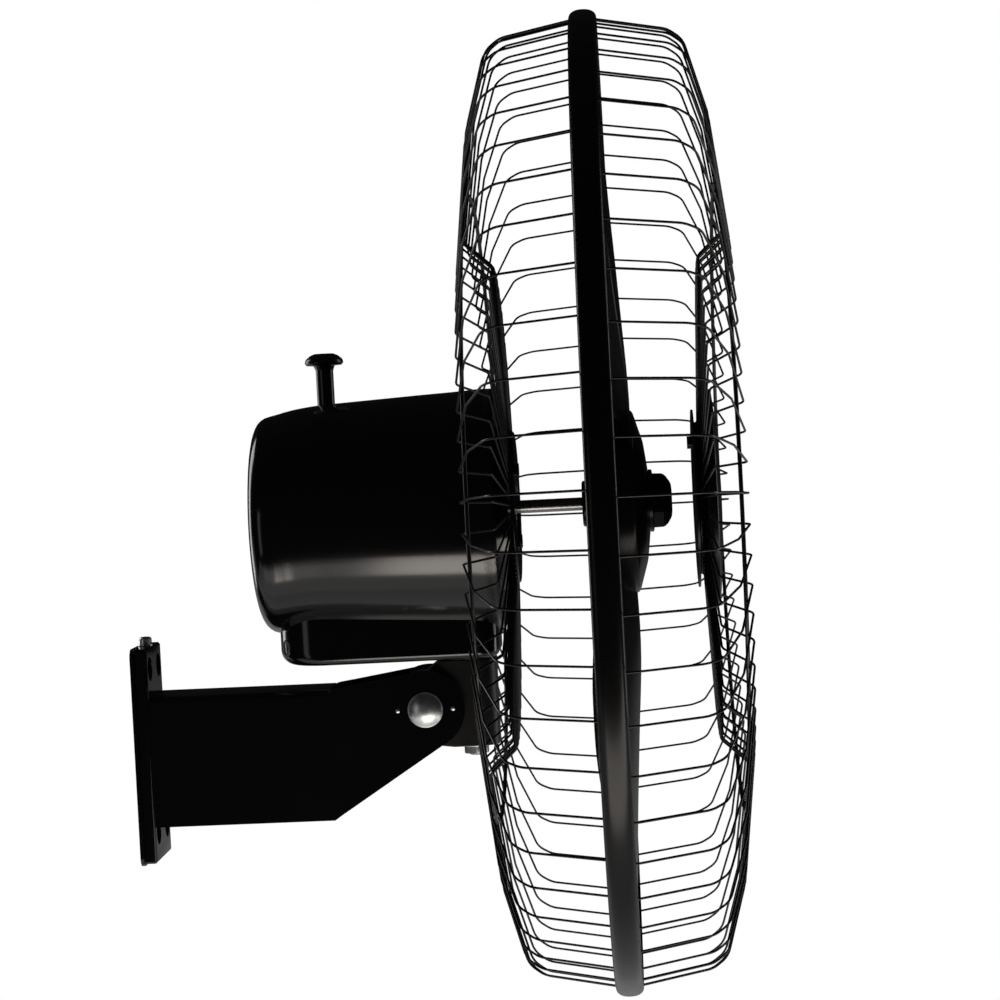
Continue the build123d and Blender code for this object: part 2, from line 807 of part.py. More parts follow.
slot_middle = (rotor_core_radius + air_gap + winding_outer_radius) / 2
with BuildPart() as stator_core:
    with BuildSketch(head_face.offset(stator_rear_x)):
        Circle(stator_radius)
        Circle(rotor_core_radius + air_gap, mode=Mode.SUBTRACT)
        with PolarLocations(slot_middle, slot_count):
            Rectangle(winding_outer_radius - rotor_core_radius - 6, slot_width, mode=Mode.SUBTRACT)
    extrude(amount=stator_length)
save(stator_core, "stator_core")

with BuildPart() as stator_windings:
    for low_x in (stator_rear_x - winding_length, stator_front_x):
        with BuildSketch(head_face.offset(low_x)):
            RegularPolygon(winding_outer_radius, slot_count)
            RegularPolygon(rotor_core_radius + 4, slot_count, mode=Mode.SUBTRACT)
        extrude(amount=winding_length)
save(stator_windings, "stator_windings")

with BuildPart() as long_bolts:
    with BuildSketch(head_face.offset(rear_shield_x)):
        with PolarLocations(long_bolt_circle_radius, 4, start_angle=45):
            Circle(long_bolt_radius)
    extrude(amount=long_bolt_end_x - rear_shield_x)
save(long_bolts, "long_bolts")

with BuildPart() as run_capacitor:
    length, width, height = capacitor_size
    capacitor_plane = Plane(
        origin=(rear_shield_x, capacitor_y, axis_height), x_dir=(0, 1, 0), z_dir=(1, 0, 0)
    )
    with BuildSketch(capacitor_plane):
        Rectangle(width, height)
    extrude(amount=-length)
    chamfer(run_capacitor.edges().filter_by(Axis.X), 2)
save(run_capacitor, "run_capacitor")

with BuildPart() as terminal_block:
    length, width, height = terminal_size
    terminal_plane = Plane(
        origin=(rear_shield_x, terminal_y, axis_height + terminal_z), x_dir=(0, 1, 0), z_dir=(1, 0, 0)
    )
    with BuildSketch(terminal_plane):
        Rectangle(width, height)
    extrude(amount=-length)
    with BuildSketch(terminal_plane.offset(-length)):
        with GridLocations(width / 4, 1, 3, 1):
            Rectangle(4, 5)
    extrude(amount=6, mode=Mode.SUBTRACT)
save(terminal_block, "terminal_block")

# ---------------------------------------------------------------- gearbox behind the motor

gearbox_low = Plane(origin=(gearbox_middle_x, gearbox_middle_y, axis_height - gearbox_height / 2))
with BuildPart() as gearbox_body:
    with BuildSketch(gearbox_low):
        Rectangle(gearbox_length, gearbox_width)
    extrude(amount=gearbox_height)
    with BuildSketch(gearbox_low.offset(gearbox_wall)):
        Rectangle(gearbox_length - 2 * gearbox_wall, gearbox_width - 2 * gearbox_wall)
    extrude(amount=gearbox_height, mode=Mode.SUBTRACT)
    with BuildSketch(head_face.offset(rear_shield_x)):
        Circle(shaft_radius + 1)
    extrude(amount=-gearbox_wall, mode=Mode.SUBTRACT)
    with BuildSketch(Plane(origin=(knob_x, spindle_y, axis_height))):
        Circle(spindle_radius + running_gap)
    extrude(amount=-gearbox_height, mode=Mode.SUBTRACT)
save(gearbox_body, "gearbox_body")

with BuildPart() as gearbox_lid:
    with BuildSketch(gearbox_low.offset(gearbox_height)):
        Rectangle(gearbox_length, gearbox_width)
    extrude(amount=gearbox_wall)
    with BuildSketch(Plane(origin=(knob_x, spindle_y, gearbox_top_z))):
        Circle(spindle_radius + running_gap)
    extrude(amount=gearbox_wall, mode=Mode.SUBTRACT)
save(gearbox_lid, "gearbox_lid")

with BuildPart() as worm_wheel:
    with BuildSketch(Plane(origin=(knob_x, spindle_y, axis_height - worm_wheel_thickness / 2))):
        with BuildLine():
            Polyline(*gear_outline(worm_wheel_teeth, worm_wheel_module, 0), close=True)
        make_face()
        Circle(spindle_radius + running_gap, mode=Mode.SUBTRACT)
    extrude(amount=worm_wheel_thickness)
save(worm_wheel, "worm_wheel")

with BuildPart() as clutch_spindle:
    with BuildSketch(Plane(origin=(knob_x, spindle_y, gear_bottom_z))):
        with BuildLine():
            Polyline(*gear_outline(pinion_teeth, gear_module, mesh_angle), close=True)
        make_face()
    extrude(amount=gear_thickness)
    with BuildSketch(Plane(origin=(knob_x, spindle_y, gear_bottom_z))):
        Circle(spindle_radius)
    extrude(amount=spindle_top_z - gear_bottom_z)
    with BuildSketch(Plane(origin=(knob_x, spindle_y, spindle_top_z))):
        Circle(knob_rod_radius + running_gap)
    extrude(amount=-gearbox_height - rod_bore_margin, mode=Mode.SUBTRACT)
save(clutch_spindle, "clutch_spindle")

# ---------------------------------------------------------------- clutch knob

stem_low_z = spindle_top_z + 4
stem_top_z = axis_height + housing_radius(knob_x) + knob_stem_height
with BuildPart() as clutch_knob:
    add(round_bar(knob_x, spindle_y, stem_low_z, stem_top_z, knob_stem_radius).part)
    add(round_bar(knob_x, spindle_y, stem_top_z, stem_top_z + knob_head_height, knob_head_radius).part)
    chamfer(clutch_knob.faces().sort_by(Axis.Z)[-1].edges(), knob_bevel)
save(clutch_knob, "clutch_knob")

rod_low_z = axis_height - worm_wheel_thickness
save(round_bar(knob_x, spindle_y, rod_low_z, stem_low_z, knob_rod_radius), "knob_rod")

# ---------------------------------------------------------------- crank and link

crank_phase = mesh_angle + 180 + 180 / crank_teeth
with BuildPart() as crank_gear:
    with BuildSketch(Plane(origin=(crank_x, 0, gear_bottom_z))):
        with BuildLine():
            Polyline(*gear_outline(crank_teeth, gear_module, crank_phase), close=True)
        make_face()
        Circle(crank_axle_radius + running_gap, mode=Mode.SUBTRACT)
        with Locations((0, -crank_arm)):
            Circle(crank_pin_radius, mode=Mode.SUBTRACT)
    extrude(amount=gear_thickness)
save(crank_gear, "crank_gear")

axle_top_z = axis_height - housing_radius(crank_x) - 0.2
save(round_bar(crank_x, 0, gear_bottom_z, axle_top_z, crank_axle_radius), "crank_axle")
crank_top_z = gear_bottom_z + gear_thickness
save(round_bar(crank_x, -crank_arm, link_bottom_z, crank_top_z, crank_pin_radius), "crank_pin")

# the link keeps the direction that lies midway between its rest and its dead centres
link_rise = crank_arm - anchor_radius_at * (1 + cos(radians(swing_angle))) / 2 - crank_arm / 2
link_angle = degrees(atan2(link_rise, pivot_x - crank_x))
link_length = hypot(pivot_x - crank_x, link_rise)
link_eye_radius = anchor_radius + link_eye_play
link_plane = Plane(origin=(crank_x, -crank_arm, link_bottom_z)).rotated((0, 0, link_angle))
with BuildPart() as link_arm:
    with BuildSketch(link_plane):
        with Locations((link_length / 2, 0)):
            Rectangle(link_length, link_width - 2)
        Circle(link_width / 2 + 0.6)
        with Locations((link_length, 0)):
            Circle(link_eye_radius + 2)
            Circle(link_eye_radius, mode=Mode.SUBTRACT)
        Circle(crank_pin_radius + running_gap, mode=Mode.SUBTRACT)
    extrude(amount=link_thickness)
save(link_arm, "link_arm")

# ---------------------------------------------------------------- shaft and rotor

nose_thread_x = nose_front_x - 4
# the worm is cut into the shaft's rear end and shown at its root
worm_root = worm_radius - worm_wheel_module
motor_shaft = turned(
    [
        (shaft_rear_x, 0),
        (shaft_rear_x, shaft_radius),
        (knob_x - worm_length / 2, shaft_radius),
        (knob_x - worm_length / 2, worm_root),
        (knob_x + worm_length / 2, worm_root),
        (knob_x + worm_length / 2, shaft_radius),
        (nose_thread_x, shaft_radius),
        (nose_thread_x, 0),
    ]
)
save(motor_shaft, "motor_shaft")

with BuildPart() as rotor_core:
    with BuildSketch(head_face.offset(stator_rear_x)):
        Circle(rotor_core_radius)
        Circle(shaft_radius, mode=Mode.SUBTRACT)
    extrude(amount=stator_length)
save(rotor_core, "rotor_core")

# ---------------------------------------------------------------- fan wheel, one moulding

# radius, chord, pitch angle, camber, how far the section is swept back, and its place on the axis
blade_sections = (
    (46.0, 62.0, 22.0, 3.0, 0.0, 298.0),
    (85.0, 92.0, 16.0, 6.0, 3.0, 298.0),
    (140.0, 126.0, 9.5, 8.0, 8.0, 296.5),
    (200.0, 150.0, 7.0, 8.0, 12.0, 294.0),
    (245.0, 142.0, 6.0, 6.0, 13.0, 293.8),
    (262.0, 96.0, 6.0, 3.0, 12.0, 294.4),
)


def blade_section(radius, chord, pitch, camber, swept, middle_x):
    """A thin cambered section, square to the blade's length, its chord turned by the pitch."""
    plane = Plane(origin=(middle_x, 0, axis_height + radius), x_dir=(0, 1, 0), z_dir=(0, 0, 1))
    shares = (-0.5, -0.2, 0.2, 0.5)
    lower = [(swept + chord * t, -camber * (1 - 4 * t * t)) for t in shares]
    upper = [(x, y + blade_thickness) for x, y in reversed(lower)]
    with BuildSketch(plane.rotated((0, 0, pitch))) as section:
        with BuildLine():
            Polyline(*lower, *upper, close=True)
        make_face()
    return section.sketch


with BuildPart() as blade:
    loft([blade_section(*values) for values in blade_sections], ruled=True)

with BuildPart() as fan_wheel:
    add(
        turned(
            [
                (hub_rear_x, shaft_radius),
                (hub_rear_x, hub_boss_radius),
                (hub_front_x - hub_wall, hub_boss_radius),
                (hub_front_x - hub_wall, hub_front_radius - hub_wall),
                (hub_shoulder_x, hub_radius - hub_wall),
                (hub_skirt_x, hub_radius - hub_wall),
                (hub_skirt_x, hub_radius),
                (hub_shoulder_x, hub_radius),
                (hub_front_x, hub_front_radius),
                (hub_front_x, shaft_radius),
            ]
        ).part
    )
    with BuildSketch(head_face.offset(hub_skirt_x)):
        with PolarLocations((hub_boss_radius + hub_radius) / 2 - 1, hub_rib_count):
            Rectangle(hub_radius - hub_boss_radius - 1, hub_wall)
    extrude(amount=hub_shoulder_x - hub_skirt_x)
    for index in range(blade_count):
        add(blade.part.rotate(fan_axis, blade_first_angle + index * 360 / blade_count))
save(fan_wheel, "fan_wheel")

with BuildPart() as nose_nut:
    with BuildSketch(head_face.offset(hub_front_x)):
        Circle(nose_radius + 1)
        Circle(shaft_radius, mode=Mode.SUBTRACT)
    extrude(amount=nose_flange)
    with BuildSketch(head_face.offset(hub_front_x + nose_flange)):
        RegularPolygon(nose_radius, 8)
        Circle(shaft_radius, mode=Mode.SUBTRACT)
    extrude(amount=nose_thread_x - hub_front_x - nose_flange)
    with BuildSketch(head_face.offset(nose_thread_x)):
        RegularPolygon(nose_radius, 8)
    extrude(amount=nose_front_x - nose_thread_x, taper=30)
save(nose_nut, "nose_nut")

# ---------------------------------------------------------------- wire guards

# one wire in the guard's own frame: local x is the radius, local z is the depth
with BuildPart() as guard_wire:
    with BuildLine() as wire_path:
        Polyline(*[(radius, 0, depth) for radius, depth in wire_line])
    with BuildSketch(Plane(origin=wire_path.line @ 0, x_dir=(0, 1, 0), z_dir=wire_path.line % 0)):
        Rectangle(wire_size, wire_size)
    sweep(transition=Transition.RIGHT)


def guard_ring(forward, radius, depth, size):
    """A ring of square wire round the fan axis, at a depth from the rim's middle plane."""
    x = rim_x + forward * depth
    half = size / 2
    return turned(
        [
            (x - half, radius - half),
            (x + half, radius - half),
            (x + half, radius + half),
            (x - half, radius + half),
        ]
    )


ring_seat = wire_radius + ring_wire_size / 2 - weld_sink  # welded on the wheel's side of the wires
for name, forward in (("rear", -1), ("front", 1)):
    face = Plane(origin=(rim_x, 0, axis_height), x_dir=(0, 1, 0), z_dir=(forward, 0, 0))
    with BuildPart(face) as guard_wires:
        with PolarLocations(0, wire_count, start_angle=first_wire_angle):
            add(guard_wire.part)
    save(guard_wires, f"{name}_guard_wires")
    rim_ring = guard_ring(forward, outer_ring_at, rim_ring_size / 2, rim_ring_size)
    save(rim_ring, f"{name}_outer_ring")
    depth = guard_depth(support_ring_radius) - ring_seat
    save(guard_ring(forward, support_ring_radius, depth, ring_wire_size), f"{name}_support_ring")
    depth = guard_depth(inner_ring_radius) - ring_seat
    save(guard_ring(forward, inner_ring_radius, depth, ring_wire_size), f"{name}_inner_ring")

rim_half = rim_width / 2
lip_radius = wire_start_radius + wire_radius + rim_ring_play
band_inner = rim_radius - rim_wall
rim_band = turned(
    [
        (rim_x - rim_half, lip_radius),
        (rim_x - rim_half, rim_radius - rim_round),
        (rim_x - rim_half + rim_bevel, rim_radius),
        (rim_x + rim_half - rim_bevel, rim_radius),
        (rim_x + rim_half, rim_radius - rim_round),
        (rim_x + rim_half, lip_radius),
        (rim_x + rim_half - rim_wall, lip_radius),
        (rim_x + rim_half - rim_wall, band_inner - rim_round + rim_wall),
        (rim_x + rim_half - rim_bevel - rim_wall / 3, band_inner),
        (rim_x - rim_half + rim_bevel + rim_wall / 3, band_inner),
        (rim_x - rim_half + rim_wall, band_inner - rim_round + rim_wall),
        (rim_x - rim_half + rim_wall, lip_radius),
    ]
)
save(rim_band, "rim_band")

# ---------------------------------------------------------------- guard fastening at the motor

clamp_x = rim_x - wire_end_depth + wire_radius
clamp_radius = inner_ring_radius - ring_wire_size / 2 - clamp_gap
clamp_inner_radius = wire_end_radius - clamp_reach
guard_screw_circle_radius = wire_end_radius - 7
with BuildPart() as guard_clamp:
    with BuildSketch(head_face.offset(clamp_x)):
        Circle(clamp_radius)
        Circle(clamp_inner_radius, mode=Mode.SUBTRACT)
        with PolarLocations(guard_screw_circle_radius, 4, start_angle=45):
            Circle(badge_screw_radius, mode=Mode.SUBTRACT)
    extrude(amount=clamp_thickness)
save(guard_clamp, "guard_clamp")

with BuildPart() as guard_screws:
    with BuildSketch(head_face.offset(clamp_x + clamp_thickness)):
        with PolarLocations(guard_screw_circle_radius, 4, start_angle=45):
            Circle(screw_head_radius)
    extrude(amount=guard_screw_head)
    with BuildSketch(head_face.offset(boss_x)):
        with PolarLocations(guard_screw_circle_radius, 4, start_angle=45):
            Circle(badge_screw_radius)
    extrude(amount=clamp_x + clamp_thickness - boss_x)
save(guard_screws, "guard_screws")

# ---------------------------------------------------------------- badge on the front guard

badge_back_x = rim_x + guard_depth(badge_radius) + wire_radius
badge_face_x = badge_back_x + badge_lip
badge_plate = turned(
    [
        (badge_back_x, badge_radius - badge_thickness),
        (badge_back_x, badge_radius),
        (badge_face_x, badge_radius),
        (badge_face_x + badge_dome, badge_flat_radius),
        (badge_face_x + badge_dome, 0),
        (badge_face_x + badge_dome - badge_thickness, 0),
        (badge_face_x + badge_dome - badge_thickness, badge_flat_radius),
        (badge_face_x - badge_thickness, badge_radius - badge_thickness),
    ]
)
save(badge_plate, "badge_plate")

badge_clamp_x = rim_x + guard_depth(inner_ring_radius) - ring_seat - ring_wire_size / 2
badge_inner_x = badge_face_x + badge_dome - badge_thickness
badge_screw_z = axis_height + badge_screw_at
with BuildPart() as badge_clamp:
    with BuildSketch(head_face.offset(badge_clamp_x)):
        Circle(badge_clamp_radius)
        with Locations((0, badge_screw_at)):
            Circle(badge_screw_radius, mode=Mode.SUBTRACT)
    extrude(amount=-badge_clamp_thickness)
save(badge_clamp, "badge_clamp")

badge_screw_plane = Plane(
    origin=(badge_clamp_x - badge_clamp_thickness, 0, badge_screw_z), x_dir=(0, 1, 0), z_dir=(1, 0, 0)
)
with BuildPart() as badge_screw:
    with BuildSketch(badge_screw_plane):
        Circle(badge_screw_head_radius)
    extrude(amount=-badge_screw_head_height)
    with BuildSketch(badge_screw_plane):
        Circle(badge_screw_radius)
    extrude(amount=badge_inner_x - badge_clamp_x + badge_clamp_thickness)
save(badge_screw, "badge_screw")
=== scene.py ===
"""Wall mounted oscillating fan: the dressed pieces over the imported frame.

Lengths are metres in the row frame, and millimetres where a docstring says so. The origin lies midway
between the four wall holes, on the plate's back. +X is the way the air blows and +Z is up.
"""

import functools
import logging
import math
from dataclasses import dataclass
from enum import Enum, IntEnum

import bmesh
import bpy
import numpy as np
from mathutils import Matrix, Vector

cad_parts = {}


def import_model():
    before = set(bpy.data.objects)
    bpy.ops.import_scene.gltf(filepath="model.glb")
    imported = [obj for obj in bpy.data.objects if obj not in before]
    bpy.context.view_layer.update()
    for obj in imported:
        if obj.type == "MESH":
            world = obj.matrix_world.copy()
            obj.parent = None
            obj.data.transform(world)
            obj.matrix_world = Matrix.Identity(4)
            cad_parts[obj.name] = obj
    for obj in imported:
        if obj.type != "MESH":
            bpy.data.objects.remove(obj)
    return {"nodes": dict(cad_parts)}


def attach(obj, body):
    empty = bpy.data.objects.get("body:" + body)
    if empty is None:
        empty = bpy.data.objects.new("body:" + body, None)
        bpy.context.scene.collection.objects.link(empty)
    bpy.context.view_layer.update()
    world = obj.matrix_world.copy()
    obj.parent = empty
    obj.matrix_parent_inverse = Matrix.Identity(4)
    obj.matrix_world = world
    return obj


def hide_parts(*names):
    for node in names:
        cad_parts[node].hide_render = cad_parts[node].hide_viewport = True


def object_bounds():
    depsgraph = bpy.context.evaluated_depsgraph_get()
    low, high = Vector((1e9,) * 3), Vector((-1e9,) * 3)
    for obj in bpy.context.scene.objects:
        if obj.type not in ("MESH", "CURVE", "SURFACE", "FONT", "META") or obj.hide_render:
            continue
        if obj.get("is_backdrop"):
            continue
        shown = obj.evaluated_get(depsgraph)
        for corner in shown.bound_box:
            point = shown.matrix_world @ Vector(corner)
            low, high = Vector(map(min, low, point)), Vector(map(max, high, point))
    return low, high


MM = 0.001
TINY = 1e-12  # keeps a length of 0 out of a division
SAME_PLACE = 1e-7  # points of a rounded line nearer than this are one
ARC_SHARE = 0.48  # the most of a run that one arc may take up
AXIS_Z = 0.137  # height of the fan axis
RIM_X = 0.293  # middle plane of the rim, where both halves of the cage meet
LOG = logging.getLogger("wall_fan")
Tree = bpy.types.NodeTree
Socket = bpy.types.NodeSocket


class Body(str, Enum):
    """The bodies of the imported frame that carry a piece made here."""

    BRACKET = "wall_bracket"
    TILT = "tilt_block"
    HEAD = "motor_head"
    ROTOR = "fan_rotor"
    KNOB = "knob"


class Axis(IntEnum):
    """The row frame's axes, by their place in a point."""

    X = 0
    Y = 1
    Z = 2


class Half(Enum):
    """The halves of the cage, each with the way that it bulges along X."""

    REAR = -1
    FRONT = 1


# ------------------------------------------------------------------ surfaces from arrays


def circle(count: int) -> np.ndarray:
    """Angles of that many even steps round a full turn."""
    return np.linspace(0, 2 * np.pi, count, endpoint=False)


def mesh_object(name: str, points: np.ndarray, faces: list, smooth_angle: float = 35.0) -> bpy.types.Object:
    """Makes an object from points and faces, smooth except along sharp edges.

    Args:
        name: Name of the object and its mesh.
        points: Array (n, 3) of places in metres.
        faces: Lists of point indices.
        smooth_angle: Edges that turn more than this many degrees stay sharp.

    Returns:
        The linked object, which sits at the origin.
    """
    mesh = bpy.data.meshes.new(name)
    mesh.from_pydata(points.reshape(-1, 3).tolist(), [], faces)
    mesh.validate()
    mesh.shade_smooth()
    mesh.set_sharp_from_angle(angle=math.radians(smooth_angle))
    obj = bpy.data.objects.new(name, mesh)
    bpy.context.scene.collection.objects.link(obj)
    return obj


def grid_faces(rows: int, columns: int, wrap_rows: bool, wrap_columns: bool, first: int = 0) -> np.ndarray:
    """Quads of a grid whose point (i, j) has index first + i * columns + j.

    Args:
        rows: Number of rows.
        columns: Number of columns.
        wrap_rows: Whether the last row joins the first.
        wrap_columns: Whether the last column joins the first.
        first: Index of the first point.

    Returns:
        Integer array (n, 4).
    """
    i = np.arange(rows if wrap_rows else rows - 1)
    j = np.arange(columns if wrap_columns else columns - 1)
    a, b = np.meshgrid(i, j, indexing="ij")
    down = (a + 1) % rows
    right = (b + 1) % columns
    quads = np.stack([a * columns + b, down * columns + b, down * columns + right, a * columns + right], -1)
    return quads.reshape(-1, 4) + first


def tube_faces(rows: int, columns: int, first: int = 0) -> list:
    """Faces of a closed tube: the quads of its wall and one flat face at each end.

    Args:
        rows: Number of rings.
        columns: Points in each ring.
        first: Index of the first point.

    Returns:
        Lists of point indices.
    """
    last = first + (rows - 1) * columns
    faces = grid_faces(rows, columns, False, True, first).tolist()
    faces.append(list(range(first, first + columns)))
    faces.append(list(range(last, last + columns))[::-1])
    return faces


def outward(obj: bpy.types.Object, gap: float = 1e-6, flat_angle: float = 0.0) -> bpy.types.Object:
    """Merges doubled points and turns every face outwards.

    Args:
        obj: Object to mend.
        gap: Points nearer than this are merged.
        flat_angle: Faces that meet within this many degrees become one; 0 leaves them apart.

    Returns:
        The same object.
    """
    work = bmesh.new()
    work.from_mesh(obj.data)
    bmesh.ops.remove_doubles(work, verts=work.verts, dist=gap)
    if flat_angle:
        limit = math.radians(flat_angle)
        bmesh.ops.dissolve_limit(work, angle_limit=limit, verts=work.verts, edges=work.edges)
    bmesh.ops.recalc_face_normals(work, faces=work.faces)
    work.to_mesh(obj.data)
    work.free()
    obj.data.update()
    return obj


def turned(name: str, profile: np.ndarray, segments: int = 96, closed: bool = False, angle: float = 35.0,
           centre: tuple = (0.0, 0.0, AXIS_Z), along: Axis = Axis.X) -> bpy.types.Object:
    """A profile turned about a line: (t, r) becomes t along the line and (r cos a, r sin a) across it.

    Args:
        name: Name of the piece.
        profile: Array (n, 2) of (place along the line, radius).
        segments: Steps round the turn.
        closed: Whether the profile's last point joins its first.
        angle: Sharp edge angle in degrees.
        centre: Row place that the line passes through; its coordinate along the line is 0.
        along: Axis that the line follows.

    Returns:
        The object, with its faces outwards.
    """
    turn = circle(segments)
    points = np.zeros((len(profile), segments, 3))
    points[..., along] = profile[:, :1]
    points[..., (along + 1) % 3] = np.outer(profile[:, 1], np.cos(turn))
    points[..., (along + 2) % 3] = np.outer(profile[:, 1], np.sin(turn))
    faces = grid_faces(len(profile), segments, closed, True).tolist()
    return outward(mesh_object(name, points + np.array(centre), faces, angle))


def rounded(points: np.ndarray, radii: np.ndarray, steps: int = 6, closed: bool = False) -> np.ndarray:
    """A polyline whose corners are replaced by arcs.

    At each corner the arc touches both runs at radius * tan(turn / 2) from the corner, or at
    ARC_SHARE of the shorter run if that is less, and its points are a quadratic blend between the two.

    Args:
        points: Array (n, d) of corners.
        radii: Arc radius at each corner.
        steps: Points in each arc.
        closed: Whether the last corner joins the first.

    Returns:
        Array (m, d).
    """
    before = np.roll(points, 1, 0) - points
    after = np.roll(points, -1, 0) - points
    long_before = np.linalg.norm(before, axis=1)
    long_after = np.linalg.norm(after, axis=1)
    u = before / np.maximum(long_before, TINY)[:, None]
    v = after / np.maximum(long_after, TINY)[:, None]
    inner = np.arccos(np.clip((u * v).sum(1), -1, 1))
    wanted = np.asarray(radii) / np.tan(np.maximum(inner / 2, 1e-3))
    reach = np.minimum(wanted, ARC_SHARE * np.minimum(long_before, long_after))
    if not closed:
        reach[[0, -1]] = 0
    t = np.linspace(0, 1, steps)[None, :, None]
    start = (points + u * reach[:, None])[:, None, :]
    end = (points + v * reach[:, None])[:, None, :]
    corner = points[:, None, :]
    weight = np.sin(inner / 2)[:, None, None]  # the rational weight that makes the blend a true arc
    low = (1 - t) ** 2
    mid = 2 * t * (1 - t) * weight
    high = t ** 2
    arcs = (low * start + mid * corner + high * end) / (low + mid + high)
    flat = arcs.reshape(-1, points.shape[1])
    keep = np.ones(len(flat), bool)
    keep[1:] = np.linalg.norm(np.diff(flat, axis=0), axis=1) > SAME_PLACE
    return flat[keep]


def tube_points(path: np.ndarray, side: np.ndarray, radius: float, sides: int) -> np.ndarray:
    """Rings of a round bar along a path that lies in one plane.

    Each ring is place + radius (cos a * side + sin a * (side x tangent)).

    Args:
        path: Array (n, 3) of the middle line.
        side: Unit vector square to the path's plane.
        radius: Radius of the bar.
        sides: Points in each ring.

    Returns:
        Array (n, sides, 3).
    """
    tangent = np.gradient(path, axis=0)
    tangent /= np.linalg.norm(tangent, axis=1)[:, None]
    across = np.cross(side, tangent)
    turn = circle(sides)[None, :, None]
    return path[:, None, :] + radius * (np.cos(turn) * side + np.sin(turn) * across[:, None, :])


def bars(name: str, tubes: list) -> bpy.types.Object:
    """One object of several round bars with flat ends.

    Args:
        name: Name of the piece.
        tubes: Arrays (n, sides, 3) from tube_points.

    Returns:
        The object.
    """
    faces = []
    first = 0
    for tube in tubes:
        rows, columns = tube.shape[:2]
        faces += tube_faces(rows, columns, first)
        first += rows * columns
    return outward(mesh_object(name, np.concatenate(tubes), faces, smooth_angle=50))


def stacked(name: str, levels: list, angle: float = 30.0) -> bpy.types.Object:
    """A closed solid through a stack of outlines with the same number of points.

    Args:
        name: Name of the piece.
        levels: Arrays (n, 3), each an outline; the first and last are closed with a flat face.
        angle: Sharp edge angle in degrees.

    Returns:
        The object.
    """
    faces = tube_faces(len(levels), len(levels[0]))
    return outward(mesh_object(name, np.concatenate(levels), faces, angle))


def smooth_table(places: np.ndarray | tuple, values: np.ndarray | tuple, at: np.ndarray) -> np.ndarray:
    """Smooth curve through a table: a cubic on each span with the table's mean slopes at its ends.

    Args:
        places: Rising places of the table.
        values: Value at each of them.
        at: Places that the curve is read at.

    Returns:
        The values there.
    """
    places = np.asarray(places, float)
    values = np.asarray(values, float)
    slope = np.gradient(values, places)
    k = np.clip(np.searchsorted(places, at, side="right") - 1, 0, len(places) - 2)
    span = places[k + 1] - places[k]
    t = (at - places[k]) / span
    return (
        (2 * t ** 3 - 3 * t ** 2 + 1) * values[k]
        + (t ** 3 - 2 * t ** 2 + t) * span * slope[k]
        + (3 * t ** 2 - 2 * t ** 3) * values[k + 1]
        + (t ** 3 - t ** 2) * span * slope[k + 1]
    )


def facets(turn: np.ndarray, sides: int) -> np.ndarray:
    """Outline of an even-sided figure as shares of its corner radius.

    With w = pi / sides, the share at angle a is cos(w) / cos(((a + w) mod 2w) - w).

    Args:
        turn: Angles.
        sides: Number of sides.

    Returns:
        The share at each angle.
    """
    half = math.pi / sides
    return math.cos(half) / np.cos((turn + half) % (2 * half) - half)


def lowered(obj: bpy.types.Object, at: tuple, drop: tuple) -> bpy.types.Object:
    """Lowers each vertex by drop(x), a polyline through the places given.

    Args:
        obj: Object to change.
        at: Places along X in millimetres.
        drop: Amounts at those places in millimetres.

    Returns:
        The same object.
    """
    vertices = obj.data.vertices
    places = np.empty(3 * len(vertices))
    vertices.foreach_get("co", places)
    places[2::3] -= MM * np.interp(places[::3] / MM, at, drop)
    vertices.foreach_set("co", places)
    obj.data.update()
    return obj


# ------------------------------------------------------------------ shader nodes


def connect(tree: Tree, target: bpy.types.Node, inputs: dict) -> None:
    """Fills a node's inputs.

    Args:
        tree: Tree that the node is in.
        target: The node.
        inputs: For each input, by name or number, its value or the output that is linked to it.
    """
    for key, value in inputs.items():
        if isinstance(value, Socket):
            tree.links.new(value, target.inputs[key])
        else:
            target.inputs[key].default_value = value


def add_node(tree: Tree, kind: str, inputs: dict, **options: object) -> bpy.types.Node:
    """Adds a shader node.

    Args:
        tree: Tree that gets the node.
        kind: Its type, without the word ShaderNode before it.
        inputs: As in connect.
        options: Its own settings, such as the operation, which are made before its inputs.

    Returns:
        The node.
    """
    made = tree.nodes.new(f"ShaderNode{kind}")
    for option, value in options.items():
        setattr(made, option, value)
    connect(tree, made, inputs)
    return made


def maths(tree: Tree, operation: str, *terms: object) -> Socket:
    """Result of a Math node whose terms are numbers or outputs."""
    return add_node(tree, "Math", dict(enumerate(terms)), operation=operation).outputs[0]


def ramp(tree: Tree, value: Socket, low: float, high: float) -> Socket:
    """0 where the value is low, 1 where it is high, straight between them and held beyond."""
    return add_node(tree, "MapRange", {"Value": value, "From Min": low, "From Max": high}).outputs["Result"]


def noise(tree: Tree, place: Socket, scale: object, detail: float, roughness: float = 0.5) -> Socket:
    """Noise over a place.

    Args:
        tree: Tree that gets the node.
        place: Output with the coordinates.
        scale: Number or output.
        detail: Octaves of finer noise.
        roughness: How strong the finer octaves are.

    Returns:
        Output between 0 and 1.
    """
    inputs = {"Vector": place, "Scale": scale, "Detail": detail, "Roughness": roughness}
    return add_node(tree, "TexNoise", inputs).outputs["Fac"]


def mix_colours(tree: Tree, mask: Socket, low: object, high: object) -> Socket:
    """Colour between two others.

    Args:
        tree: Tree that gets the node.
        mask: Output that is 0 for low and 1 for high.
        low: Red, green and blue, or an output.
        high: The same for the other end.

    Returns:
        Output with the colour.
    """
    inputs = {"Factor": mask}
    for key, colour in (("A", low), ("B", high)):
        inputs[key] = (*colour, 1) if isinstance(colour, tuple) else colour
    return add_node(tree, "Mix", inputs, data_type="RGBA").outputs["Result"]


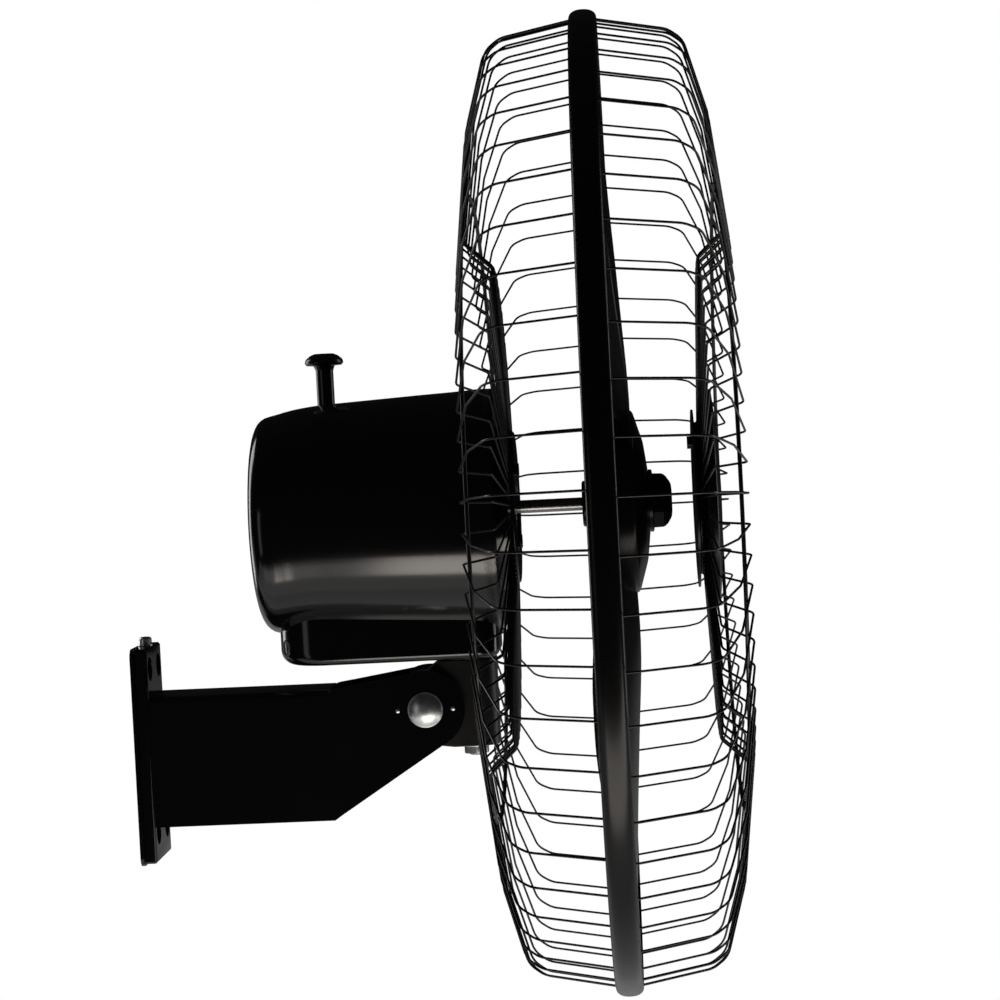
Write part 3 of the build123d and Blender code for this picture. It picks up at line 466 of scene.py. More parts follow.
def bump(tree: Tree, height: Socket, distance: float) -> Socket:
    """Normals of a surface that rises by distance where the height is 1."""
    return add_node(tree, "Bump", {"Height": height, "Distance": distance}).outputs["Normal"]


def new_group(name: str, numbers: dict, outputs: tuple) -> tuple:
    """A shader node group that reads a Vector and numbers, and puts out numbers.

    Args:
        name: Name of the group.
        numbers: Default of each number input.
        outputs: Names of the outputs.

    Returns:
        Tuple of the group, its inputs as sockets by name, and its output node.
    """
    group = bpy.data.node_groups.new(name, "ShaderNodeTree")
    group.interface.new_socket("Vector", in_out="INPUT", socket_type="NodeSocketVector")
    for label, default in numbers.items():
        socket = group.interface.new_socket(label, in_out="INPUT", socket_type="NodeSocketFloat")
        socket.default_value = default
    for label in outputs:
        group.interface.new_socket(label, in_out="OUTPUT", socket_type="NodeSocketFloat")
    given = group.nodes.new("NodeGroupInput").outputs
    return group, given, group.nodes.new("NodeGroupOutput")


def add_group(tree: Tree, group: Tree, inputs: dict) -> bpy.types.NodeOutputs:
    """Places a shared group in a material and returns its outputs."""
    return add_node(tree, "Group", inputs, node_tree=group).outputs


@functools.cache
def paint_skin() -> Tree:
    """Skin of sprayed powder, as a shared group.

    Returns:
        Group that puts out the height of orange peel (a fine noise and 0.6 of a coarser one), a
        roughness that drifts slowly, and a mask of fine specks.
    """
    numbers = {"Peel Scale": 700.0, "Roughness": 0.3, "Drift": 0.08}
    group, given, out = new_group("paint_skin", numbers, ("Height", "Roughness", "Speck"))
    place = given["Vector"]
    peel = noise(group, place, given["Peel Scale"], detail=2.0)
    wave = noise(group, place, scale=90.0, detail=1.0)
    slow = noise(group, place, scale=22.0, detail=4.0)
    centred = maths(group, "SUBTRACT", slow, 0.5)
    dots = add_node(group, "TexVoronoi", {"Vector": place, "Scale": 160.0})
    connect(group, out, {
        "Height": maths(group, "MULTIPLY_ADD", wave, 0.6, peel),
        "Roughness": maths(group, "MULTIPLY_ADD", centred, given["Drift"], given["Roughness"]),
        "Speck": ramp(group, dots.outputs["Distance"], low=0.10, high=0.04),
    })
    return group


@functools.cache
def settled_dust() -> Tree:
    """Dust on what faces up, as a shared group.

    Returns:
        Group that puts out a mask: the share of the surface that faces up, broken by a noise.
    """
    group, given, out = new_group("settled_dust", {"Amount": 0.1}, ("Mask",))
    normal = add_node(group, "NewGeometry", {}).outputs["Normal"]
    height = add_node(group, "SeparateXYZ", {0: normal}).outputs["Z"]
    cloud = noise(group, given["Vector"], scale=140.0, detail=6.0)
    dusty = maths(group, "MULTIPLY", ramp(group, height, low=0.45, high=1.0), cloud)
    connect(group, out, {"Mask": maths(group, "MULTIPLY", dusty, given["Amount"])})
    return group


@functools.cache
def surface_grain() -> Tree:
    """Grain of plated, ground, cast or moulded surfaces, as a shared group.

    Returns:
        Group that puts out a fine noise as height, a mask of patches, and a roughness that follows
        the patches.
    """
    numbers = {"Grain Scale": 900.0, "Patch Scale": 60.0, "Roughness": 0.25, "Spread": 0.15}
    group, given, out = new_group("surface_grain", numbers, ("Height", "Patch", "Roughness"))
    patch = noise(group, given["Vector"], given["Patch Scale"], detail=5.0, roughness=0.65)
    connect(group, out, {
        "Height": noise(group, given["Vector"], given["Grain Scale"], detail=3.0),
        "Patch": ramp(group, patch, low=0.35, high=0.65),
        "Roughness": maths(group, "MULTIPLY_ADD", patch, given["Spread"], given["Roughness"]),
    })
    return group


# ------------------------------------------------------------------ finishes


def blank_material(name: str) -> tuple:
    """A node material.

    Args:
        name: Name of the material.

    Returns:
        Tuple of the material and its Principled node.
    """
    material = bpy.data.materials.new(name)
    material.use_nodes = True
    return material, material.node_tree.nodes["Principled BSDF"]


@dataclass(frozen=True)
class Surface:
    """What every finish has: its material's name and the record's slot that it belongs to."""

    name: str
    slot: str

    def build(self) -> bpy.types.Material:
        """The material, on Object coordinates.

        Returns:
            The material, whose Principled node has what inputs() works out.
        """
        material, shader = blank_material(self.name)
        tree = material.node_tree
        place = add_node(tree, "TexCoord", {}).outputs["Object"]
        connect(tree, shader, self.inputs(tree, place))
        return material

    def inputs(self, tree: Tree, place: Socket) -> dict:
        """Inputs of the Principled node, which each kind of finish works out."""
        raise NotImplementedError


@dataclass(frozen=True)
class BlackPaint(Surface):
    """Sprayed or powder coated black with orange peel, fine specks and a little dust on top."""

    roughness: float
    colour: tuple = (0.0020, 0.0020, 0.0022)
    speck: tuple = (0.005, 0.005, 0.005)
    dust: tuple = (0.020, 0.019, 0.018)
    drift: float = 0.10
    peel_scale: float = 700.0
    peel_height: float = 0.00002
    specular: float = 0.5
    dust_amount: float = 0.25

    def inputs(self, tree: Tree, place: Socket) -> dict:
        """Paint, specks and dust.

        Args:
            tree: The material's tree.
            place: Object coordinates.

        Returns:
            Inputs of the Principled node.
        """
        skin = add_group(tree, paint_skin(), {
            "Vector": place, "Peel Scale": self.peel_scale, "Roughness": self.roughness,
            "Drift": self.drift,
        })
        dust = add_group(tree, settled_dust(), {"Vector": place, "Amount": self.dust_amount})
        paint = mix_colours(tree, skin["Speck"], self.colour, self.speck)
        return {
            "Base Color": mix_colours(tree, dust["Mask"], paint, self.dust),
            "Roughness": skin["Roughness"],
            "Normal": bump(tree, skin["Height"], self.peel_height),
            "Specular IOR Level": self.specular,
        }


@dataclass(frozen=True)
class Grained(Surface):
    """Metal, plastic, nylon or rubber with a fine grain and patches of a second tint."""

    colour: tuple
    tint: tuple
    roughness: float = 0.22
    spread: float = 0.15
    grain_scale: float = 900.0
    patch_scale: float = 60.0
    grain_height: float = 0.00001
    stretch: tuple = (1.0, 1.0, 1.0)
    metallic: float = 1.0

    def inputs(self, tree: Tree, place: Socket) -> dict:
        """Grain and patches over the stretched place.

        Args:
            tree: The material's tree.
            place: Object coordinates.

        Returns:
            Inputs of the Principled node.
        """
        mapping = add_node(tree, "Mapping", {"Vector": place, "Scale": self.stretch})
        grain = add_group(tree, surface_grain(), {
            "Vector": mapping.outputs["Vector"], "Grain Scale": self.grain_scale,
            "Patch Scale": self.patch_scale, "Roughness": self.roughness, "Spread": self.spread,
        })
        return {
            "Base Color": mix_colours(tree, grain["Patch"], self.colour, self.tint),
            "Roughness": grain["Roughness"],
            "Normal": bump(tree, grain["Height"], self.grain_height),
            "Metallic": self.metallic,
        }


@dataclass(frozen=True)
class Moulded(Grained):
    """Moulded plastic, nylon or rubber: a fine texture and a slow change of tone."""

    spread: float = 0.1
    grain_scale: float = 1100.0
    patch_scale: float = 35.0
    grain_height: float = 0.00002
    metallic: float = 0.0


@dataclass(frozen=True)
class Layered(Surface):
    """Stacked sheets or wound wire: fine stripes along one direction of the piece."""

    dark: tuple
    light: tuple
    pitch: float
    relief: float = 0.2  # share of the pitch
    direction: tuple = (1.0, 0.0, 0.0)
    roughness: float = 0.4
    metallic: float = 0.8

    def inputs(self, tree: Tree, place: Socket) -> dict:
        """Stripes: sin(2 pi * place / pitch), for colour and for height.

        Args:
            tree: The material's tree.
            place: Object coordinates.

        Returns:
            Inputs of the Principled node.
        """
        dot = add_node(tree, "VectorMath", {0: place, 1: self.direction}, operation="DOT_PRODUCT")
        phase = maths(tree, "MULTIPLY", dot.outputs["Value"], 2 * math.pi / self.pitch)
        share = ramp(tree, maths(tree, "SINE", phase), -1.0, 1.0)
        return {
            "Base Color": mix_colours(tree, share, self.dark, self.light),
            "Normal": bump(tree, share, self.pitch * self.relief),
            "Roughness": self.roughness,
            "Metallic": self.metallic,
        }


class Finish(Enum):
    """Every finish on the fan."""

    BRACKET = BlackPaint("bracket_powder_black", "bracket_black", 0.16, peel_scale=620.0)
    HOUSING = BlackPaint("housing_enamel_black", "cover_black", 0.14, drift=0.05, peel_height=0.000008,
                         dust_amount=0.12)
    WIRE = BlackPaint("wire_powder_black", "wire_black", 0.30, specular=0.3, dust_amount=0.1)
    RIM = BlackPaint("rim_powder_black", "rim_black", 0.24, specular=0.15, dust_amount=0.1)
    CASE = BlackPaint("gear_case_black", "black_alloy", 0.13, dust_amount=0.15)
    BLOCK = BlackPaint("cast_block_black", "black_alloy", 0.38, peel_scale=420.0, peel_height=0.00006)
    WHEEL = BlackPaint("wheel_plastic_black", "wheel_black", 0.22, drift=0.04, peel_height=0.000006,
                       specular=0.10, dust_amount=0.1)
    BADGE = BlackPaint("badge_plastic_black", "badge_black", 0.3, drift=0.04, peel_height=0.000004,
                       specular=0.2, dust_amount=0.1)
    KNOB = BlackPaint("knob_plastic_black", "knob_black", 0.25, drift=0.05, peel_height=0.00001,
                      dust_amount=0.15)
    ZINC = Grained("bright_zinc", "zinc", (0.52, 0.58, 0.58), (0.74, 0.76, 0.74), roughness=0.24,
                   spread=0.2, patch_scale=260.0)
    STEEL = Grained("ground_steel", "steel", (0.40, 0.40, 0.41), (0.52, 0.51, 0.50),
                    stretch=(0.15, 1.0, 1.0))
    # The motor shaft gets a darker copy of ground steel: its lower colour is painted shade, not a different
    # metal.
    SHAFT = Grained("shaft_steel_painted_shade", "steel", (0.20, 0.20, 0.20), (0.28, 0.28, 0.27), roughness=0.2,
                    stretch=(0.15, 1.0, 1.0))
    CAST = Grained("die_cast_alloy", "cast_alloy", (0.46, 0.46, 0.47), (0.58, 0.58, 0.57), roughness=0.42,
                   grain_scale=500.0, grain_height=0.00008)
    BRONZE = Grained("sintered_bronze", "bronze", (0.45, 0.30, 0.15), (0.56, 0.40, 0.22), roughness=0.38)
    RUBBER = Moulded("inlet_rubber", "black_rubber", (0.016, 0.016, 0.016), (0.024, 0.024, 0.024), 0.55)
    NYLON = Moulded("gear_nylon", "gear_nylon", (0.78, 0.77, 0.70), (0.86, 0.85, 0.80), 0.4)
    GREY = Moulded("capacitor_case", "capacitor_grey", (0.28, 0.29, 0.31), (0.36, 0.37, 0.39), 0.45)
    SHEETS = Layered("laminations", "laminations", (0.10, 0.10, 0.10), (0.30, 0.30, 0.31), 0.0005)
    COPPER = Layered("enamelled_copper", "copper", (0.28, 0.10, 0.04), (0.62, 0.27, 0.11), 0.0008,
                     direction=(0.0, 0.7071, 0.7071), roughness=0.28)


@functools.cache
def material_of(finish: Finish) -> bpy.types.Material:
    """A finish's material, which is made on first use."""
    return finish.value.build()


def dress(obj: bpy.types.Object, finish: Finish) -> None:
    """Gives an object one finish in place of what it has."""
    obj.data.materials.clear()
    obj.data.materials.append(material_of(finish))


def settle(obj: bpy.types.Object, body: Body, finish: Finish, *nodes: str) -> None:
    """Dresses a piece, lets it ride on a body and stand for CAD nodes.

    Args:
        obj: The piece.
        body: Body that it rides on.
        finish: Its finish.
        nodes: CAD nodes that it stands for, if any.
    """
    dress(obj, finish)
    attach(obj, body.value)
    if nodes:
        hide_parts(*nodes)
    LOG.info("%s: %d faces on %s", obj.name, len(obj.data.polygons), body.value)


# ------------------------------------------------------------------ cage


@dataclass
class WireGuard:
    """One half of the cage: sixty wires, its rings and the weld beads on them.

    A wire's line is given as (radius, depth) in millimetres, with the radius of each bend.
    """

    half: Half
    first_angle: float
    wire_count: int = 60
    wire_radius: float = 0.00068
    wire_sides: int = 8
    line: tuple = (
        (291.6, 1.0), (282.4, 49.5), (275.8, 58.4), (236.0, 70.0), (163.0, 79.5), (147.0, 62.0),
        (38.0, 57.0),
    )
    bends: tuple = (0.0, 15.0, 14.0, 9.0, 5.0, 5.0, 0.0)
    rings: tuple = (("support", 0.190), ("inner", 0.045))
    ring_wire: float = 0.0012
    rim_ring: float = 0.2937
    rim_ring_depth: float = 0.0017
    rim_ring_wire: float = 0.0016
    ring_sides: int = 10
    weld_sink: float = 0.00025
    bead: tuple = (0.0020, 0.0011, 0.0013)  # half sizes: along the wire, sideways and along X
    bead_rows: int = 5
    bead_columns: int = 6

    def profile(self) -> np.ndarray:
        """Smooth middle line of a wire as (radius, depth) in metres: straight runs joined by arcs."""
        return rounded(np.array(self.line) * MM, np.array(self.bends) * MM, steps=7)

    def place(self, radius: np.ndarray, depth: np.ndarray, angle: float) -> np.ndarray:
        """Row places of points on a plane through the fan axis.

        Args:
            radius: Distance of each point from the axis.
            depth: Distance of each point from the rim's plane.
            angle: Turn of the plane round the axis, from +Y towards +Z.

        Returns:
            Array (n, 3).
        """
        x = RIM_X + self.half.value * depth
        return np.stack([x, radius * math.cos(angle), AXIS_Z + radius * math.sin(angle)], -1)

    def depth_at(self, radius: float) -> float:
        """Depth of the wires' middle line at a radius on the face."""
        line = self.profile()[::-1]
        return float(np.interp(radius, line[:, 0], line[:, 1]))

    def angles(self) -> np.ndarray:
        """Angles of the wires in radians."""
        return np.radians(self.first_angle + np.arange(self.wire_count) * 360 / self.wire_count)

    def wires(self, name: str) -> bpy.types.Object:
        """The wires as one piece: the middle line at every angle, made round.

        Args:
            name: Name of the piece.

        Returns:
            The wires.
        """
        radius, depth = self.profile().T
        tubes = []
        for angle in self.angles():
            side = np.array([0.0, -math.sin(angle), math.cos(angle)])
            path = self.place(radius, depth, angle)
            tubes.append(tube_points(path, side, self.wire_radius, self.wire_sides))
        return bars(name, tubes)

    def ring(self, name: str, radius: float, depth: float, wire: float) -> bpy.types.Object:
        """A ring of round wire: a circle turned about the fan axis.

        Args:
            name: Name of the piece.
            radius: Radius of the ring's middle line.
            depth: Its distance from the rim's plane.
            wire: Radius of its wire.

        Returns:
            The ring.
        """
        turn = circle(self.ring_sides)
        x = RIM_X + self.half.value * depth + wire * np.cos(turn)
        profile = np.stack([x, radius + wire * np.sin(turn)], -1)
        return turned(name, profile, segments=180, closed=True, angle=80)

    def beads(self, name: str, radius: float, depth: float) -> bpy.types.Object:
        """Weld beads where the wires cross a ring: small balls stretched along the wire.

        A point (a, b, c) of the unit ball goes to crossing + a L outward + b W sideways + c D
        along X, with (L, W, D) the bead's half sizes.

        Args:
            name: Name of the piece.
            radius: Radius of the crossings.
            depth: Their distance from the rim's plane.

        Returns:
            All beads of the ring as one piece.
        """
        down = np.linspace(0, np.pi, self.bead_rows)[:, None]
        turn = circle(self.bead_columns)
        ball = np.stack(np.broadcast_arrays(
            np.cos(down), np.sin(down) * np.cos(turn), np.sin(down) * np.sin(turn),
        ), -1).reshape(-1, 3)
        angle = self.angles()[:, None, None]
        none = np.zeros_like(angle)
        out = np.concatenate([none, np.cos(angle), np.sin(angle)], -1)
        side = np.concatenate([none, -np.sin(angle), np.cos(angle)], -1)
        length, width, thick = self.bead
        points = np.array([RIM_X + self.half.value * depth, 0, AXIS_Z]) + radius * out
        points = points + ball[:, :1] * length * out + ball[:, 1:2] * width * side
        points[..., Axis.X] += ball[:, 2] * thick
        faces = grid_faces(self.bead_rows, self.bead_columns, False, True)
        quads = faces + len(ball) * np.arange(self.wire_count)[:, None, None]
        return outward(mesh_object(name, points, quads.reshape(-1, 4).tolist(), smooth_angle=80))

    def build(self) -> None:
        """Makes and places every piece of this half; the rings are sunk a little into the wires."""
        name = self.half.name.lower()
        settle(self.wires(f"{name}_wires"), Body.HEAD, Finish.WIRE, f"{name}_guard_wires")
        seat = self.wire_radius + self.ring_wire - self.weld_sink
        for label, radius in self.rings:
            depth = self.depth_at(radius)
            ring = self.ring(f"{name}_{label}_hoop", radius, depth - seat, self.ring_wire)
            settle(ring, Body.HEAD, Finish.WIRE, f"{name}_{label}_ring")
            beads = self.beads(f"{name}_{label}_welds", radius, depth - self.wire_radius)
            settle(beads, Body.HEAD, Finish.WIRE)
        hoop = self.ring(f"{name}_rim_hoop", self.rim_ring, self.rim_ring_depth, self.rim_ring_wire)
        settle(hoop, Body.HEAD, Finish.WIRE, f"{name}_outer_ring")


@dataclass
class RimBand:
    """The rolled band that clips both halves of the cage together."""

    radius: float = 0.2965
    half_width: float = 0.0082
    wall: float = 0.0012
    lip_radius: float = 0.2912
    power: float = 2.3
    arch_steps: int = 33

    def arch(self, inset: float) -> np.ndarray:
        """Half a superellipse from lip to lip: |x / w|^p + |h / H|^p = 1 with both sizes less the inset.

        Args:
            inset: How far the arch lies inside the band's outer side.

        Returns:
            Array (n, 2) of (place from the middle plane, radius).
        """
        turn = np.linspace(0, np.pi, self.arch_steps)
        share = 2 / self.power
        x = -(self.half_width - inset) * np.sign(np.cos(turn)) * np.abs(np.cos(turn)) ** share
        rise = (self.radius - self.lip_radius - inset) * np.sin(turn) ** share
        return np.stack([x, self.lip_radius + rise], -1)

    def build(self) -> None:
        """The arch and its inner side as one closed profile, turned about the fan axis."""
        profile = np.concatenate([self.arch(0.0), self.arch(self.wall)[::-1]])
        profile[:, 0] += RIM_X
        rim = turned("rim", profile, segments=256, closed=True, angle=60)
        settle(rim, Body.HEAD, Finish.RIM, "rim_band")


# ------------------------------------------------------------------ motor head


@dataclass
class MotorHousing:
    """Deep drawn tapered shell with a domed rear and a rolled mouth.

    The side and the mouth are (place along X, radius) in millimetres.
    """

    side: tuple = (
        (79.0, 0.0), (79.0, 20.0), (79.15, 34.0), (79.5, 46.0), (80.1, 53.0), (81.3, 58.8), (83.4, 62.8),
        (86.6, 65.3), (91.0, 66.5), (96.0, 66.9), (109.0, 67.6), (137.0, 69.0), (180.0, 71.1),
        (214.0, 72.8), (216.5, 73.0), (227.0, 73.0),
    )
    mouth: tuple = ((228.0, 72.6), (228.0, 71.6), (227.4, 71.0), (226.0, 70.9), (200.0, 70.2))
    side_steps: int = 90
    drop_at: tuple = (79.0, 88.0, 91.0, 95.0, 98.0, 102.0, 105.0, 109.0, 116.0, 123.0)
    drop: tuple = (3.0, 3.6, 3.5, 3.0, 2.3, 1.7, 1.2, 0.8, 0.3, 0.0)

    def build(self) -> None:
        """The shell, turned about the fan axis from a smooth side line; its rear is lowered by drop(x)."""
        side = np.array(self.side) * MM
        along = np.concatenate([[0], np.cumsum(np.hypot(*np.diff(side, axis=0).T))])
        at = np.linspace(0, along[-1], self.side_steps)
        smooth = np.stack([smooth_table(along, side[:, 0], at), smooth_table(along, side[:, 1], at)], -1)
        smooth[:, 1] = np.maximum(smooth[:, 1], 0)
        profile = np.concatenate([smooth, np.array(self.mouth) * MM])
        shell = turned("motor_shell", profile, segments=160, angle=50)
        settle(lowered(shell, self.drop_at, self.drop), Body.HEAD, Finish.HOUSING, "motor_cover")


@dataclass
class GearCase:
    """Case under the motor: nearly half round at its rear, with rolled lower edges."""

    rear_x: float = 0.090
    front_x: float = 0.224
    half_width: float = 0.0315
    low_z: float = 0.048
    top_z: float = 0.086
    rear_corner: float = 0.026
    front_corner: float = 0.014
    rear_roll: float = 0.009
    side_roll: float = 0.0048
    straight_rise: float = 0.02
    inlet_z: float = 0.059
    inlet_turn: float = 216.0
    inlet_round: float = 0.0029
    inlet_straight: float = 0.0017
    inlet_steps: int = 40
    corner_steps: int = 16
    roll_steps: int = 14
    grommet: tuple = (
        (0.0007, -0.002), (0.0007, 0.0), (0.0003, 0.0006), (-0.0003, 0.0006), (-0.0008, 0.0),
        (-0.0008, -0.006),
    )

    def roll(self, z: float, size: float) -> float:
        """How far a rolled edge is pulled in: size (1 - sqrt(1 - (1 - rise)^2)), a quarter circle.

        Args:
            z: Height.
            size: Radius of the edge.

        Returns:
            The distance, which is 0 from the radius upwards.
        """
        rise = min((z - self.low_z) / size, 1.0)
        return size * (1 - math.sqrt(1 - (1 - rise) ** 2))

    def outline(self, z: float) -> np.ndarray:
        """Plan outline at a height, with the rear end and the sides pulled in by their rolls.

        Args:
            z: Height.

        Returns:
            Array (n, 3) of the outline.
        """
        side = self.roll(z, self.side_roll)
        w = self.half_width - side
        rear = self.rear_x + self.roll(z, self.rear_roll)
        front = self.front_x - side
        corners = np.array([(rear, -w), (front, -w), (front, w), (rear, w)])
        radii = np.array([self.rear_corner, self.front_corner]) - side
        radii = np.concatenate([radii, radii[::-1]])
        flat = rounded(corners, radii, steps=self.corner_steps, closed=True)
        return np.column_stack([flat, np.full(len(flat), z)])

    def inlet(self) -> bpy.types.Object:
        """Grommet of the cord's oval hole: a stadium ring swept through the round rear end.

        Points are place + (h + q n_h) side + (v + q n_v) up + depth * outward, with (h, v) on the
        stadium and (q, depth) on the ring's own small profile.

        Returns:
            The grommet.
        """
        angle = math.radians(self.inlet_turn)
        out = np.array([math.cos(angle), math.sin(angle), 0.0])
        side = np.array([-math.sin(angle), math.cos(angle), 0.0])
        up = np.array([0.0, 0.0, 1.0])
        corner = self.rear_corner
        centre = np.array([self.rear_x + corner, corner - self.half_width, self.inlet_z])
        turn = circle(self.inlet_steps)
        h = self.inlet_round * np.cos(turn)
        v = self.inlet_round * np.sin(turn) + self.inlet_straight * np.sign(np.sin(turn))
        reach = np.sqrt(np.maximum(corner ** 2 - h ** 2, 0))
        rings = []
        for grow, depth in self.grommet:
            ring = centre + np.outer(h + grow * np.cos(turn), side) + np.outer(v + grow * np.sin(turn), up)
            rings.append(ring + np.outer(reach + depth, out))
        faces = grid_faces(len(rings), len(turn), True, True).tolist()
        return outward(mesh_object("cord_inlet", np.concatenate(rings), faces, smooth_angle=50))

    def build(self) -> None:
        """The case as a stack of outlines, close together over the rolled edge, and the grommet."""
        edge = self.rear_roll * (1 - np.cos(np.linspace(0, np.pi / 2, self.roll_steps)))
        rises = np.concatenate([edge, [self.straight_rise, self.top_z - self.low_z]])
        levels = [self.outline(self.low_z + float(rise)) for rise in rises]
        settle(stacked("gear_housing", levels, angle=40), Body.HEAD, Finish.CASE, "gear_case")
        settle(self.inlet(), Body.HEAD, Finish.RUBBER, "cord_grommet")


@dataclass
class PullKnob:
    """Knob of the clutch: a slim stem that flares into a domed head.

    A corner of its line is (height over the flare, radius) in millimetres, and each has a bend.
    """

    place: tuple = (0.123, 0.0154, 0.22925)
    line: tuple = (
        (-69.25, 0.0), (-69.25, 5.4), (-3.0, 5.4), (0.0, 6.6), (0.2, 10.8), (1.8, 12.0), (4.0, 11.4),
        (6.3, 8.6), (7.5, 5.8), (7.5, 0.0),
    )
    bends: tuple = (0.0, 0.4, 2.0, 0.8, 0.8, 1.2, 3.0, 2.2, 2.0, 0.0)

    def build(self) -> None:
        """Stem and head in one turned profile."""
        profile = rounded(np.array(self.line) * MM, np.array(self.bends) * MM)
        knob = turned("pull_knob", profile, segments=64, angle=50, centre=self.place, along=Axis.Z)
        settle(knob, Body.KNOB, Finish.KNOB, "clutch_knob")


# ------------------------------------------------------------------ fan wheel and badge


@dataclass
class FanWheel:
    """Three swept, cambered blades on a domed hub, with a faceted nose nut.

    All lengths of the wheel are millimetres, and all angles degrees. The blade's tables are read
    at its radii. The hub is (place along X, radius), and a level of the nose is (place along X,
    radius over the corners, share of the facets from 0 for a circle to 1).
    """

    first_angle: float = 20.0
    blade_count: int = 3
    thickness: float = 2.4
    edge_share: float = 0.3
    radii: tuple = (46.0, 85.0, 140.0, 200.0, 245.0, 262.0)
    chords: tuple = (62.0, 92.0, 126.0, 150.0, 150.0, 140.0)
    pitches: tuple = (22.0, 16.0, 9.5, 7.0, 6.0, 6.0)
    middles: tuple = (298.0, 298.0, 296.5, 294.0, 293.8, 294.4)
    cambers: tuple = (3.0, 6.0, 8.0, 8.0, 6.0, 3.0)
    sweeps: tuple = (0.0, 3.0, 8.0, 12.0, 13.0, 12.0)
    even_to: float = 228.0
    even_rows: int = 18
    tip_rows: int = 14
    columns: int = 25
    round_from: float = 232.0
    round_power: float = 2.6
    tip_floor: float = 2e-4  # least value of 1 - q^p
    hub_line: tuple = (
        (278.0, 4.0), (278.0, 14.0), (315.3, 14.0), (313.8, 30.0), (307.5, 53.0), (291.0, 53.0),
        (291.0, 56.0), (310.5, 56.0), (316.5, 36.0), (318.5, 20.0), (318.5, 4.0),
    )
    hub_bends: tuple = (0.5, 1.5, 2.0, 6.0, 5.0, 0.8, 0.8, 4.0, 30.0, 6.0, 0.5)
    nose_flats: int = 8
    nose_steps: int = 96
    nose_levels: tuple = (
        (318.6, 19.0, 0.0), (320.4, 19.0, 0.0), (321.0, 18.4, 0.0), (321.2, 17.6, 0.9), (326.6, 17.4, 1.0),
        (327.8, 16.9, 1.0), (329.4, 15.4, 1.0), (331.4, 12.2, 0.9), (332.2, 10.0, 0.6), (332.5, 7.0, 0.2),
    )

    def blade(self, name: str, angle: float) -> bpy.types.Object:
        """One blade as a closed thin shell.

        At radius r a point at share t of the chord lies at u = sweep + chord * t and
        v = T / 2 - camber (1 - 4 t^2) +- half thickness, turned by the pitch. The half thickness is
        T / 2 (e + (1 - e) sqrt(1 - (2 t)^4)), so it falls to the edge share e at both edges. Near the
        tip the chord shrinks by (1 - q^p)^(1 / p), with q from 0 at round_from to 1 at the tip.

        Args:
            name: Name of the piece.
            angle: Turn of the blade round the fan axis in radians.

        Returns:
            The blade.
        """
        tip = self.radii[-1]
        quarter = np.linspace(0, np.pi / 2, self.tip_rows)
        crowded = tip - (tip - self.even_to) * (1 - np.sin(quarter))
        r = np.concatenate([np.linspace(self.radii[0], self.even_to, self.even_rows), crowded[1:]])
        t = -0.5 * np.cos(np.linspace(0, np.pi, self.columns))
        chord, pitch, middle, camber, sweep = (
            smooth_table(self.radii, table, r)[:, None]
            for table in (self.chords, self.pitches, self.middles, self.cambers, self.sweeps)
        )
        q = np.clip((r - self.round_from) / (tip - self.round_from), 0, 1)[:, None]
        chord = chord * np.maximum(1 - q ** self.round_power, self.tip_floor) ** (1 / self.round_power)
        pitch = np.radians(pitch)
        u = sweep + chord * t
        sheet = self.thickness / 2 - camber * (1 - 4 * t * t)
        bulge = np.sqrt(np.maximum(1 - (2 * t) ** 4, 0))
        half = self.thickness / 2 * (self.edge_share + (1 - self.edge_share) * bulge)
        sides = []
        for v in (sheet + half, sheet - half):
            x = MM * (middle - u * np.sin(pitch) - v * np.cos(pitch))
            y = MM * (u * np.cos(pitch) - v * np.sin(pitch))
            z = MM * r[:, None]
            round_y = y * math.cos(angle) - z * math.sin(angle)
            round_z = y * math.sin(angle) + z * math.cos(angle)
            sides.append(np.stack([x, round_y, AXIS_Z + round_z], -1))
        loops = np.concatenate([sides[0], sides[1][:, ::-1]], axis=1)
        return outward(mesh_object(name, loops, tube_faces(*loops.shape[:2]), smooth_angle=60))

    def hub(self) -> bpy.types.Object:
        """Hub: a domed cup round a boss, turned from a closed profile.

        Returns:
            The hub.
        """
        line = np.array(self.hub_line) * MM
        profile = rounded(line, np.array(self.hub_bends) * MM, steps=8, closed=True)
        return turned("wheel_hub", profile, segments=128, closed=True, angle=50)

    def nose(self) -> bpy.types.Object:
        """Nose nut: flats that turn into a low cone, on a round flange.

        Each outline is radius (1 + share (facets - 1)), so it blends towards a circle at both ends.

        Returns:
            The nut.
        """
        turn = circle(self.nose_steps)
        levels = []
        for x, radius, share in self.nose_levels:
            ring = radius * MM * (1 + share * (facets(turn, self.nose_flats) - 1))
            level = [np.full(len(turn), x * MM), ring * np.cos(turn), AXIS_Z + ring * np.sin(turn)]
            levels.append(np.stack(level, -1))
        return stacked("wheel_nose", levels, angle=28)

    def build(self) -> None:
        """The wheel's pieces, of which the first blade stands for the CAD wheel."""
        nodes = ("fan_wheel",)
        for index in range(self.blade_count):
            angle = math.radians(self.first_angle + 360 / self.blade_count * index)
            settle(self.blade(f"wheel_blade_{index + 1}", angle), Body.ROTOR, Finish.WHEEL, *nodes)
            nodes = ()
        settle(self.hub(), Body.ROTOR, Finish.WHEEL)
        settle(self.nose(), Body.ROTOR, Finish.WHEEL, "nose_nut")


